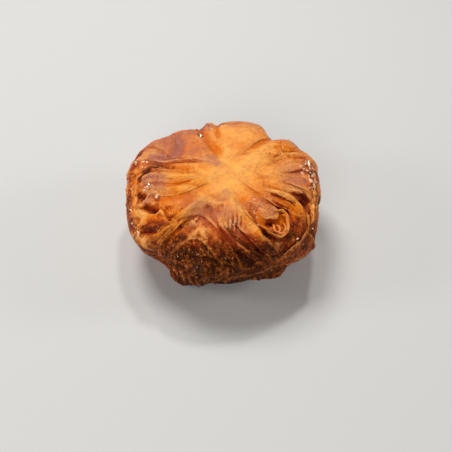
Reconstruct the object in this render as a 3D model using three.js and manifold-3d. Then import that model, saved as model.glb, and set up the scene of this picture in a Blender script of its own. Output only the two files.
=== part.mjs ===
// Kouign amann: a small round cake of laminated, caramelised dough. The corners of the dough are folded
// to the middle of the top, and each fold shows there as an arm, a lip or a crease that runs out over the
// shoulder. On the front right the end of a fold is rolled up into a rosette. Millimetres, +Z up, origin
// at the centre of the flat underside. A place on the skin is [bearing, arc]: the bearing in degrees
// anticlockwise from +X, and the way from the middle of the top, along the skin, in mm.
import * as THREE from "three";
import { mergeVertices } from "three/addons/utils/BufferGeometryUtils.js";
import Module from "manifold-3d";

// ---- driving dimensions -------------------------------------------------------------------------------
const CROWN_HEIGHT = 44.6; // top of the smooth form, before its folds
const WAIST_RADIUS = 46.2;
const WAIST_HEIGHT = 27;
const FOOT_RADIUS = 31; // the flat underside
const CROWN_FULLNESS = { across: 2.9, up: 2.0 }; // superellipse powers
const FLANK_FULLNESS = { across: 2.6, up: 1.9 };
const SHOULDER_ARC = 50; // outer edge of the top
const FLANK_PACKING = 0.45; // how much of each further mm down the flank counts in the fold pattern
const FOOT_FADE = 10; // the relief dies out over the last mm of arc above the underside
const COLUMNS = 136; // facets round the waist; halved again and again towards the middle of the top
const CROWN_EDGE = 2.0; // length of a facet along the meridian on the top
const FLANK_EDGE = 3.4; // and at the foot

// Broad swellings and hollows of the dough: place, half widths across and along the meridian, and height.
const SWELLS = [
  { name: "back left petal", at: [138, 46], across: 22, along: 13, high: 6.2 },
  { name: "back petal", at: [80, 46], across: 15, along: 12, high: 7.0 },
  { name: "small back petal", at: [109, 48], across: 5, along: 7, high: 2.6 },
  { name: "right back petal", at: [45, 46], across: 11, along: 10, high: 4.6 },
  { name: "right petal", at: [15, 46], across: 17, along: 13, high: 4.4 },
  { name: "right petal, back end", at: [28, 47], across: 8, along: 10, high: 2.6 },
  { name: "left shoulder", at: [170, 50], across: 12, along: 12, high: 3.4 },
  { name: "left wall", at: [203, 58], across: 12, along: 12, high: 1.8 },
  { name: "front shell", at: [252, 44], across: 15, along: 14, high: 2.6 },
  { name: "rosette mound", at: [-49, 39], across: 11, along: 10, high: 1.8 },
  { name: "right wall", at: [-24, 60], across: 16, along: 15, high: 2.6 },
  { name: "front left hollow", at: [218, 66], across: 12, along: 10, high: -3.4 },
  { name: "front hollow", at: [277, 73], across: 22, along: 12, high: -4.4 },
  { name: "front right hollow", at: [-50, 70], across: 15, along: 11, high: -3.4 },
  { name: "back right hollow", at: [64, 60], across: 10, along: 16, high: -1.8 },
  { name: "back left hollow", at: [113, 62], across: 9, along: 16, high: -2.0 },
];

// Rounded arms of dough: name, way from the middle outwards, height and half width.
const ARMS = [
  ["right arm", [[12, 5], [34, 18], [41, 27], [42, 36]], 1.7, 4.2],
  ["back arm", [[80, 5], [88, 17], [93, 26]], 1.1, 3.6],
  ["left arm", [[195, 6], [186, 20], [181, 31], [177, 42]], 2.1, 2.7],
  ["second left arm", [[205, 8], [197, 20], [192, 32], [191, 42]], 2.0, 2.8],
  ["front left arm", [[228, 8], [232, 24], [225, 36], [218, 46], [207, 51]], 2.7, 3.4],
  ["front right arm", [[-70, 6], [-75, 20], [-67, 32], [-61, 42], [-57, 52]], 2.7, 3.3],
  ["shell arch", [[236, 33], [243, 23], [255, 19.5], [270, 20.5], [279, 28]], 1.9, 3.0],
  ["drape", [[-92, 24], [-84, 34], [-75, 41], [-66, 50]], 1.7, 2.2],
  ["hole floor band", [[-24, 22], [-20, 33], [-24, 41], [-32, 45], [-44, 49]], 1.6, 2.3],
].map(([name, way, high, wide]) => ({ name, way, high, wide }));

// Folds that run down the flank, from the back of the right side round to the left side.
const FLANK_FOLDS = { first: -34, last: 200, count: 12, top: 49, foot: 80, sway: 7 };
const FLANK_FOLD_SECTION = { up: 0.9, down: 2.1, wide: 3.6 };

// Edges of dough that lie over their neighbours: name, way from the middle outwards, which side is the
// upper one (+1 the left-hand side, -1 the right-hand one), the height of the edge, the depth beside it,
// and the reach of both.
const LIPS = [
  ["back left petal", [[128, 10], [150, 25], [155, 41], [157, 52]], -1, 1.3, 1.5, 4.5],
  ["left crack", [[167, 17], [168, 28], [169, 36], [171, 47]], -1, 0.7, 3.2, 2.6],
  ["left pleat", [[180, 10], [187, 22], [186, 36], [184, 45]], -1, 0.7, 1.3, 2.6],
  ["left pleat", [[215, 9], [203, 22], [193, 38], [192, 48]], -1, 0.7, 1.5, 2.8],
  ["whorl brow", [[212, 20], [204, 31], [199, 39], [196, 47]], -1, 1.4, 2.4, 3.2],
  ["whorl lip", [[227, 24], [222, 32], [215, 39], [206, 44]], -1, 1.4, 2.6, 3.2],
  ["front left arm", [[236, 25], [230, 35], [223, 45], [211, 51]], 1, 0.8, 1.8, 2.8],
  ["below left arm", [[241, 28], [236, 37], [228, 46], [222, 54]], -1, 0.6, 1.8, 2.8],
  ["shell, second", [[235, 42], [240, 33], [250, 29], [262, 33], [274, 44]], 1, 0.8, 1.5, 3.2],
  ["shell, third", [[240, 47], [246, 39], [254, 38], [262, 43], [268, 50]], 1, 0.6, 1.2, 3.0],
  ["first furrow", [[-94, 27], [-83, 37], [-75, 44], [-67, 52]], 1, 0.5, 1.5, 2.4],
  ["second furrow", [[-80, 28], [-74, 36], [-68, 43], [-63, 51]], 1, 0.4, 1.8, 2.2],
  ["third furrow", [[-56, 20], [-61, 28], [-60, 36], [-55, 45]], -1, 0.3, 2.0, 2.4],
  ["front right crease", [[-26, 8], [-37, 18], [-39, 27], [-36, 33]], 1, 0.8, 1.1, 2.4],
  ["upper ring", [[-30, 21], [-29, 29], [-28, 36], [-33, 42], [-43, 46]], 1, 1.0, 1.7, 2.4],
  ["hole brow", [[-12, 22], [-15, 33], [-15, 41], [-17, 47]], 1, 1.8, 3.0, 3.4],
  ["outer ring", [[-21, 41], [-25, 45], [-33, 48], [-44, 51], [-55, 52]], 1, 1.2, 1.8, 2.4],
  ["right pleat", [[-6, 30], [-7, 38], [-6, 47]], 1, 0.5, 0.9, 2.2],
  ["right pleat", [[6, 31], [9, 38], [13, 46]], 1, 0.4, 0.8, 2.2],
  ["right back petal", [[20, 22], [27, 34], [33, 50]], 1, 0.8, 1.0, 3.0],
  ["right back crumb edge", [[36, 30], [40, 40], [41, 50]], 1, 0.8, 1.0, 2.4],
  ["back petal, right", [[56, 24], [57, 36], [60, 50]], 1, 1.2, 1.8, 3.4],
  ["back petal, left", [[95, 14], [101, 28], [103, 48]], -1, 0.8, 1.6, 3.0],
  ["back left petal, right", [[110, 14], [114, 28], [116, 48]], 1, 0.8, 1.6, 3.0],
  ["shell, left edge", [[234, 46], [231, 58], [231, 70], [236, 80]], 1, 1.2, 3.2, 3.4],
].map(([name, way, side, up, down, wide]) => ({ name, way, side, up, down, wide }));
const LIP_LEAN = 0.9; // how far an upper edge leans out over the lower side
const LIP_STEP = 1.0; // half the width over which the height changes sides

// Hollows between the folds.
const PITS = [
  { name: "whorl, upper cavity", at: [196, 41], across: 2.4, along: 3.2, deep: 2.2 },
  { name: "whorl, cavity", at: [209, 39], across: 3.0, along: 4.2, deep: 3.6 },
  { name: "whorl, lower cavity", at: [221, 43], across: 2.6, along: 5.0, deep: 3.2 },
  { name: "hole under the brow", at: [-19, 42], across: 2.6, along: 3.8, deep: 3.4 },
  { name: "hole, lower end", at: [-26, 46], across: 2.8, along: 2.4, deep: 2.2 },
  { name: "back hole", at: [105, 43], across: 2.0, along: 2.6, deep: 2.4 },
  { name: "notch at the foot", at: [219, 62], across: 6, along: 3.0, deep: 2.6 },
];

// The rosette: a strip of dough rolled up round its heart and standing out of the skin.
const ROSETTE = {
  at: [-49, 38.5],
  turns: 2.3,
  start: 2.2, // radians at the heart
  inner: 0.9,
  outer: 8.0,
  thick: 1.6,
  proud: 2.7,
  sunk: 3.0,
  bowl: 3.6, // depth of the hollow that it lies in
};

// Layers of the flank, and the fine gathers at the foot of the front.
const WALL_LAYERS = { from: 54, to: 84, pitch: 7.5, deep: 1.3, wave: 3.0 };
const GATHERS = { at: [262, 69], across: 24, along: 8, pitch: 7.2, deep: 1.3 };
const UNEVENNESS = [{ size: 38, high: 0.8 }, { size: 17, high: 0.45 }];

const DEG = Math.PI / 180;

// ---- small functions ----------------------------------------------------------------------------------
const clamp = (x, low, high) => Math.min(high, Math.max(low, x));

function smooth(low, high, x) {
  const t = clamp((x - low) / (high - low), 0, 1);
  return t * t * (3 - 2 * t);
}

const hill = (x, y) => Math.exp(-(x * x + y * y));

// An unevenness between -1 and 1, with waves about `size` mm long.
function uneven(x, y, size, seed) {
  const k = (2 * Math.PI) / size;
  const a = Math.sin(k * (0.83 * x + 0.56 * y) + 1.7 * seed + 1.1 * Math.sin(k * 0.61 * y + seed));
  const b = Math.sin(k * (0.71 * y - 0.49 * x) + 2.3 * seed + 0.9 * Math.sin(k * 0.53 * x - seed));
  return 0.5 * (a + b);
}

// ---- smooth form --------------------------------------------------------------------------------------
// The meridian runs from the middle of the top over the shoulder and down to the edge of the underside.
function makeMeridian(steps = 600) {
  const points = [];
  for (let i = 0; i <= steps; i++) {
    const a = ((Math.PI / 2) * i) / steps;
    points.push([
      WAIST_RADIUS * Math.sin(a) ** (2 / CROWN_FULLNESS.across),
      WAIST_HEIGHT + (CROWN_HEIGHT - WAIST_HEIGHT) * Math.max(0, Math.cos(a)) ** (2 / CROWN_FULLNESS.up),
    ]);
  }
  for (let i = 1; i <= steps; i++) {
    const a = ((Math.PI / 2) * i) / steps;
    points.push([
      FOOT_RADIUS + (WAIST_RADIUS - FOOT_RADIUS) * Math.max(0, Math.cos(a)) ** (2 / FLANK_FULLNESS.across),
      WAIST_HEIGHT * (1 - Math.sin(a) ** (2 / FLANK_FULLNESS.up)),
    ]);
  }
  const arcs = [0];
  for (let i = 1; i < points.length; i++) {
    const [r0, z0] = points[i - 1];
    const [r1, z1] = points[i];
    arcs.push(arcs[i - 1] + Math.hypot(r1 - r0, z1 - z0));
  }
  return { points, arcs, length: arcs[arcs.length - 1] };
}
const MERIDIAN = makeMeridian();

// Radius and height of the smooth form at an arc.
function meridianAt(arc) {
  const { points, arcs, length } = MERIDIAN;
  const s = clamp(arc, 0, length);
  let low = 0;
  let high = arcs.length - 1;
  while (high - low > 1) {
    const middle = (low + high) >> 1;
    if (arcs[middle] <= s) low = middle;
    else high = middle;
  }
  const t = (s - arcs[low]) / Math.max(1e-9, arcs[high] - arcs[low]);
  return [0, 1].map((k) => points[low][k] + t * (points[high][k] - points[low][k]));
}

// A point `high` mm above the smooth form.
function skinPoint(bearing, arc, high) {
  const step = 0.8;
  const [r, z] = meridianAt(arc);
  const [r0, z0] = meridianAt(arc - step);
  const [r1, z1] = meridianAt(arc + step);
  const length = Math.hypot(r1 - r0, z1 - z0);
  const radius = Math.max(0, r - (high * (z1 - z0)) / length);
  const level = Math.max(0, z + (high * (r1 - r0)) / length);
  return [radius * Math.cos(bearing), radius * Math.sin(bearing), level];
}

// ---- the skin laid out flat ---------------------------------------------------------------------------
// A fold is drawn on the skin as on a sheet of paper spread round the middle of the top.
function flatAt(bearing, arc) {
  const way = arc < SHOULDER_ARC ? arc : SHOULDER_ARC + FLANK_PACKING * (arc - SHOULDER_ARC);
  return [way * Math.cos(bearing), way * Math.sin(bearing)];
}

function placeOf(x, y) {
  const way = Math.hypot(x, y);
  const arc = way < SHOULDER_ARC ? way : SHOULDER_ARC + (way - SHOULDER_ARC) / FLANK_PACKING;
  return [Math.atan2(y, x), arc];
}

// Offsets of a place from a centre, in mm across and along the meridian.
function offsetFrom([bearing, arc], at) {
  const turn = bearing - at[0] * DEG;
  const wrapped = Math.atan2(Math.sin(turn), Math.cos(turn));
  return [wrapped * Math.max(4, meridianAt(arc)[0]), arc - at[1]];
}

// The flank folds stand at uneven steps round the flank, sway to either side and turn up either edge.
function flankFolds() {
  const { first, last, count, top, foot, sway } = FLANK_FOLDS;
  return Array.from({ length: count }, (_, i) => {
    const bearing = first + ((last - first) * (i + 0.3 * Math.sin(2.4 * i))) / (count - 1);
    const bend = sway * Math.sin(1.9 * i + 0.5);
    const middle = top + 0.45 * (foot - top);
    const way = [[bearing, top], [bearing + bend, middle], [bearing - 0.4 * bend, foot]];
    return { way, side: Math.sin(2.7 * i) > 0 ? 1 : -1, ...FLANK_FOLD_SECTION };
  });
}

// A fold's way as a smooth line on the flat layout.
function lineOf(fold) {
  const knots = fold.way.map(([bearing, arc]) => new THREE.Vector2(...flatAt(bearing * DEG, arc)));
  return new THREE.SplineCurve(knots).getPoints(8 * (knots.length - 1));
}
const ARM_LINES = ARMS.map(lineOf);
const ALL_LIPS = [...LIPS, ...flankFolds()];
const LIP_LINES = ALL_LIPS.map(lineOf);

// Nearest point of a line: the distance, positive on the left, the share of the line before it, and the
// direction.
function nearest(line, x, y) {
  let best = { square: Infinity };
  for (let i = 0; i + 1 < line.length; i++) {
    const a = line[i];
    const dx = line[i + 1].x - a.x;
    const dy = line[i + 1].y - a.y;
    const t = clamp(((x - a.x) * dx + (y - a.y) * dy) / (dx * dx + dy * dy), 0, 1);
    const ox = x - a.x - t * dx;
    const oy = y - a.y - t * dy;
    const square = ox * ox + oy * oy;
    if (square < best.square) {
      best = { square, ox, oy, dx, dy, share: (i + t) / (line.length - 1) };
    }
  }
  const size = Math.hypot(best.dx, best.dy);
  const [dx, dy] = [best.dx / size, best.dy / size];
  return { distance: Math.sqrt(best.square), left: dx * best.oy - dy * best.ox, share: best.share, dx, dy };
}

// Folds fade in at their inner end and out at their outer one.
const fade = (share) => smooth(-0.1, 0.28, share) * (1 - smooth(0.85, 1.12, share));

// ---- relief -------------------------------------------------------------------------------------------
const armHeight = (arm, near) => arm.high * fade(near.share) * hill(near.distance / arm.wide, 0);

function lipHeight(lip, near) {
  const across = lip.side * near.left;
  const turn = Math.tanh(across / LIP_STEP);
  const reach = Math.exp(-near.distance / lip.wide);
  return fade(near.share) * reach * turn * (across > 0 ? lip.up : lip.down);
}

// The upper edge of a lip moves out over the lower side.
function lipShift(lip, near) {
  const upper = smooth(-LIP_STEP, LIP_STEP, lip.side * near.left);
  const amount = LIP_LEAN * fade(near.share) * upper * Math.exp(-near.distance / 1.8);
  return [lip.side * amount * near.dy, -lip.side * amount * near.dx];
}

function wallLayers(place, x, y) {
  const { from, to, pitch, deep, wave } = WALL_LAYERS;
  const [, arc] = place;
  const t = (arc + wave * uneven(x, y, 30, 7)) / pitch;
  const section = 1.6 * (t - Math.floor(t)) ** 0.5 * (1 - t + Math.floor(t)) ** 0.8 - 0.4;
  return deep * section * smooth(from, from + 6, arc) * (1 - smooth(to - 8, to, arc));
}

function gathers(place) {
  const [across, along] = offsetFrom(place, GATHERS.at);
  return GATHERS.deep * Math.sin((2 * Math.PI * across) / GATHERS.pitch + 0.12 * along)
    * hill(across / GATHERS.across, along / GATHERS.along);
}

// Height of the folded skin over the smooth form, and how far its point is shifted on the flat layout.
function relief(place) {
  const [x, y] = flatAt(...place);
  let high = 0;
  let shiftX = 0;
  let shiftY = 0;
  ARMS.forEach((arm, i) => {
    high += armHeight(arm, nearest(ARM_LINES[i], x, y));
  });
  ALL_LIPS.forEach((lip, i) => {
    const near = nearest(LIP_LINES[i], x, y);
    high += lipHeight(lip, near);
    const [sx, sy] = lipShift(lip, near);
    shiftX += sx;
    shiftY += sy;
  });
  for (const swell of SWELLS) {
    const [across, along] = offsetFrom(place, swell.at);
    high += swell.high * hill(across / swell.across, along / swell.along);
  }
  for (const pit of PITS) {
    const [across, along] = offsetFrom(place, pit.at);
    high -= pit.deep * hill(across / pit.across, along / pit.along);
  }
  const [across, along] = offsetFrom(place, ROSETTE.at);
  high -= ROSETTE.bowl * hill(across / ROSETTE.outer, along / ROSETTE.outer);
  UNEVENNESS.forEach(({ size, high: rise }, i) => {
    high += rise * uneven(x, y, size, 3 + i);
  });
  high += wallLayers(place, x, y) + gathers(place);
  const foot = 1 - smooth(MERIDIAN.length - FOOT_FADE, MERIDIAN.length, place[1]);
  return { high: high * foot, shift: [shiftX * foot, shiftY * foot] };
}

function crustPoint(bearing, arc) {
  const { high, shift } = relief([bearing, arc]);
  const [x, y] = flatAt(bearing, arc);
  const [shiftedBearing, shiftedArc] = placeOf(x + shift[0], y + shift[1]);
  return { point: skinPoint(shiftedBearing, shiftedArc, high), high };
}

// ---- body mesh ----------------------------------------------------------------------------------------
// Rings of points from the middle of the top to the edge of the underside, zipped together with triangles
// and closed by a fan on the flat underside. The rings near the middle have fewer points, so that no
// facet is a sliver.
function columnsAt(radius) {
  let count = COLUMNS;
  while (count % 2 === 0 && (2 * Math.PI * radius) / count < 0.55 * CROWN_EDGE) count /= 2;
  return count;
}

function bodyGeometry() {
  const rings = [];
  let arc = 0;
  while (arc < MERIDIAN.length - 0.01) {
    const edge = CROWN_EDGE + (FLANK_EDGE - CROWN_EDGE) * smooth(SHOULDER_ARC + 6, MERIDIAN.length, arc);
    const left = MERIDIAN.length - arc;
    arc += left < 1.5 * edge ? left : 0.87 * edge;
    rings.push({ arc, count: columnsAt(meridianAt(arc)[0]) });
  }
  const crust = [crustPoint(0, 0)];
  for (const ring of rings) {
    ring.start = crust.length;
    for (let k = 0; k < ring.count; k++) {
      crust.push(crustPoint((2 * Math.PI * k) / ring.count, ring.arc));
    }
  }
  const faces = [];
  const inner = rings[0];
  for (let k = 0; k < inner.count; k++) {
    faces.push([0, inner.start + k, inner.start + ((k + 1) % inner.count)]);
  }
  for (let i = 0; i + 1 < rings.length; i++) {
    faces.push(...zip(rings[i], rings[i + 1], crust));
  }
  const rim = rings[rings.length - 1];
  const underside = crust.length;
  for (let k = 0; k < rim.count; k++) {
    faces.push([underside, rim.start + ((k + 1) % rim.count), rim.start + k]);
  }
  return meshOf([...crust.map(({ point }) => point), [0, 0, 0]], faces);
}

// Triangles between two neighbouring rings, the outer one with as many points as the inner one or twice
// as many. A facet of four corners is split between the two corners of most like height, so that its edge
// follows the folds.
function zip(inner, outer, crust) {
  const rise = (p, q) => Math.abs(crust[p].high - crust[q].high);
  const faces = [];
  for (let k = 0; k < inner.count; k++) {
    const a = inner.start + k;
    const b = inner.start + ((k + 1) % inner.count);
    if (outer.count === inner.count) {
      const c = outer.start + k;
      const d = outer.start + ((k + 1) % outer.count);
      faces.push(...(rise(a, d) < rise(b, c) ? [[a, c, d], [a, d, b]] : [[a, c, b], [b, c, d]]));
    } else {
      const c = outer.start + 2 * k;
      const d = outer.start + ((2 * k + 2) % outer.count);
      faces.push([a, c, c + 1], [a, c + 1, b], [b, c + 1, d]);
    }
  }
  return faces;
}

function meshOf(vertices, faces) {
  const geometry = new THREE.BufferGeometry();
  geometry.setAttribute("position", new THREE.Float32BufferAttribute(vertices.flat(), 3));
  geometry.setIndex(faces.flat());
  geometry.computeVertexNormals();
  return geometry;
}

// ---- rosette ------------------------------------------------------------------------------------------
// A strip whose middle line is a spiral on the skin. Its section is a thin upright block, sunk in the
// skin.
function rosetteGeometry(steps = 46) {
  const { at, turns, start, inner, outer, thick, proud, sunk } = ROSETTE;
  const vertices = [];
  const faces = [];
  const corners = [[-0.5, 0], [-0.35, 1], [0.35, 1], [0.5, 0]];
  for (let i = 0; i <= steps; i++) {
    const t = i / steps;
    const angle = 2 * Math.PI * turns * t + start;
    const crest = proud * (1 - 0.55 * t ** 3);
    for (const [side, high] of corners) {
      const radius = inner + (outer - inner) * t + side * thick;
      const arc = at[1] + radius * Math.sin(angle);
      const bearing = at[0] * DEG + (radius * Math.cos(angle)) / meridianAt(arc)[0];
      vertices.push(skinPoint(bearing, arc, high * (crest + sunk) - sunk));
    }
  }
  const n = corners.length;
  for (let i = 0; i < steps; i++) {
    for (let k = 0; k < n; k++) {
      const a = i * n + k;
      const b = i * n + ((k + 1) % n);
      faces.push([a, b + n, b], [a, a + n, b + n]);
    }
  }
  const last = steps * n;
  faces.push([0, 1, 2], [0, 2, 3], [last, last + 2, last + 1], [last, last + 3, last + 2]);
  return meshOf(vertices, faces);
}

// ---- joining ------------------------------------------------------------------------------------------
const wasm = await Module();
wasm.setup();

function solidOf(geometry) {
  const bare = geometry.clone();
  bare.deleteAttribute("normal");
  const merged = mergeVertices(bare, 1e-4);
  const solid = new wasm.Manifold(new wasm.Mesh({
    numProp: 3,
    vertProperties: merged.attributes.position.array,
    triVerts: new Uint32Array(merged.index.array),
  }));
  if (solid.volume() < 0) throw new Error("inside out");
  return solid;
}

function geometryOf(solid) {
  const { vertProperties, triVerts } = solid.getMesh();
  const geometry = new THREE.BufferGeometry();
  geometry.setAttribute("position", new THREE.BufferAttribute(vertProperties, 3));
  geometry.setIndex(new THREE.BufferAttribute(triVerts, 1));
  geometry.computeVertexNormals();
  return geometry;
}

const crust = new THREE.MeshStandardMaterial({ color: 0xb8682a, roughness: 0.45, metalness: 0 });
const pastry = new THREE.Mesh(geometryOf(solidOf(bodyGeometry()).add(solidOf(rosetteGeometry()))), crust);
pastry.name = "pastry";

const cake = new THREE.Group();
cake.add(pastry);
export default cake;
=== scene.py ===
"""Kouign amann: a small round cake of laminated, caramelised dough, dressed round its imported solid.

The crust is one surface over the bearing round the middle of the top and the arc along the skin, with its folds,
layers and crags as relief. Loose edges of dough, the rosette, flakes, sugar and set caramel are pieces of their own.
Lengths are in mm until a mesh is made, and a place on the skin is (bearing, arc): degrees anticlockwise from +X, and
mm along the skin from the middle of the top.
"""
import math
from collections import namedtuple
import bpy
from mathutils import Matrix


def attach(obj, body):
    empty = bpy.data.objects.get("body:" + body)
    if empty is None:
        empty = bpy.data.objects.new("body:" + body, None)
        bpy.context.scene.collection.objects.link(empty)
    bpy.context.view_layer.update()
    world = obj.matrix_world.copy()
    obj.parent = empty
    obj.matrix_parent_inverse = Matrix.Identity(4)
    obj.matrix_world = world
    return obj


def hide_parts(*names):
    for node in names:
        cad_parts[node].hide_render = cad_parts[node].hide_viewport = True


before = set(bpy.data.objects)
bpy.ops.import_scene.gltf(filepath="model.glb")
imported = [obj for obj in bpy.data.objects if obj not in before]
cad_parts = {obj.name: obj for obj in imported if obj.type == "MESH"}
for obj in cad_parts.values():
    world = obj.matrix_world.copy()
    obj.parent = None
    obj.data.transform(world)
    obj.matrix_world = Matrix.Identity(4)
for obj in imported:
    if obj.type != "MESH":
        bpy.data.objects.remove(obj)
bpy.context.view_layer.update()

from types import SimpleNamespace

import bpy
import numpy as np
from bpy.props import FloatProperty, FloatVectorProperty, IntProperty, PointerProperty
from mathutils import Vector

bl_info = {
    "name": "Kouign amann",
    "version": (1, 0, 0),
    "blender": (4, 5, 0),
    "location": "3D View > Sidebar > Kouign amann",
    "description": "Makes a caramelised laminated cake and the stage that it stands on",
    "category": "Add Mesh",
}

MM = 0.001

# ---- smooth form, as the solid has it ------------------------------------------------------------------------------
CROWN_HEIGHT = 44.6  # top of the smooth form, before its folds
WAIST_RADIUS, WAIST_HEIGHT = 46.2, 27.0  # where it is widest
FOOT_RADIUS = 31.0
CROWN_FULLNESS = (2.9, 2.0)  # superellipse powers across and up
FLANK_FULLNESS = (2.6, 1.9)
SHOULDER_ARC = 50.0  # arc at which the flank begins
FLANK_PACKING = 0.45  # share of its length that the flank keeps in the flat layout
FOOT_FADE = 4.5  # arc over which the folds fade out above the foot

# Broad swellings and hollows: place, half widths across and along the meridian, height.
SWELLS = [
    ("back left petal", (137, 47), (20, 13), 5.4),
    ("lower right foot", (-55, 70), (8, 8), 2.0),
    ("back petal", (76, 46), (18, 12), 7.4),
    ("small back petal", (100.5, 43), (3.2, 7), 1.3),
    ("back left petal, corner", (122, 47), (6, 7), 1.2),
    ("back petal, right corner", (64, 48), (5, 8), 1.8),
    ("right back petal", (42, 46), (9, 10), 4.0),
    ("right petal", (14, 46), (16, 13), 5.2),
    ("small right lobe", (23, 48), (5, 7), 2.4),
    ("left shoulder", (169, 50), (13, 12), 3.6),
    ("left shoulder, back", (152, 50), (8, 9), 1.3),
    ("left wall", (203, 58), (12, 12), 1.8),
    ("front shell", (252, 44), (15, 14), 2.6),
    ("rosette mound", (-49, 39), (11, 10), 2.0),
    ("ear of the rosette", (-47, 30), (5.5, 3.5), 0.3),
    ("right wall", (-31, 62), (14, 13), 3.0),
    ("between two flank folds", (-2.6, 67), (4, 14), -1.6),
    ("right waist", (0, 56), (14, 10), -1.4),
    ("right wall, lower", (-32, 57), (6, 6), 1.0),
    ("front left hollow", (226, 66), (10, 10), -7.4),
    ("front hollow", (277, 72), (19, 12), -5.8),
    ("front foot", (279, 84), (17, 8), -8.6),
    ("shell foot, left end", (238, 80), (6, 7), 1.6),
    ("front right hollow", (-36, 73), (9, 10), -4.2),
    ("back right hollow", (64, 60), (10, 16), -1.8),
    ("back left hollow", (113, 62), (9, 16), -2.0),
    ("back right notch", (54, 46), (6, 9), -4.4),
    ("lower left rim", (213, 54), (6, 4), 2.2),
]

# Rounded arms of dough: name, way from the middle outwards, height and half width.
ARMS = [
    ("right arm", [(12, 5), (34, 18), (41, 27), (42, 36)], 1.7, 4.2),
    ("back arm", [(80, 5), (88, 17), (93, 26)], 1.1, 3.6),
    ("left arm", [(200, 8), (190, 16), (182, 24), (178, 31), (179, 40)], 2.3, 2.5),
    ("second left arm", [(212, 8), (210, 16), (203, 24), (196, 31), (189, 38)], 2.1, 2.6),
    ("front left arm", [(240, 14), (238, 26), (232, 35), (227, 44), (220, 51)], 2.3, 2.6),
    ("wedge in the whorl", [(200, 46), (204, 44), (210, 42)], 1.3, 1.5),
    ("groove of the whorl", [(200, 42), (205, 39.5), (212, 37)], -2.8, 1.6),
    ("brown lobe", [(229, 40), (225, 40.8), (218, 44), (212, 47)], 1.3, 2.8),
    ("front right arm", [(-82, 8), (-78, 17), (-71, 26), (-67, 33), (-66, 39), (-64, 44)], 2.5, 2.8),
    ("shell brow", [(236, 31), (243, 23), (255, 19.5), (270, 20.5), (279, 28)], 1.7, 3.2),
    ("third arch", [(246, 44), (249, 38), (252, 34.5), (255, 34.5), (257.5, 37), (259.5, 40)], 0.6, 1.6),
    ("red ridge", [(-96, 24), (-88, 34), (-80, 39), (-72, 44), (-66, 51)], 1.6, 1.9),
    ("back groove", [(93, 8), (100, 20), (106, 31), (107, 46)], -1.5, 2.6),
    ("groove beside the small back petal", [(95, 28), (95, 38), (94, 48)], -1.2, 1.6),
    ("purple valley", [(125, 48), (130, 36), (139, 30), (149, 30), (157, 35)], -1.7, 2.8),
    ("bulge of the back left petal", [(142, 42), (150, 38), (160, 41)], 1.0, 3.2),
    ("crescent below the rosette", [(-66, 37), (-63, 40), (-58, 42.6)], 0.9, 0.9),
    ("first ring", [(-34, 21), (-30.5, 27), (-28.7, 33), (-30, 39), (-36, 45), (-46, 48)], 1.3, 1.5),
    ("second ring", [(-28, 20), (-25.5, 27), (-24, 33), (-26, 39.5), (-32, 45)], 1.9, 1.5),
]

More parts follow.
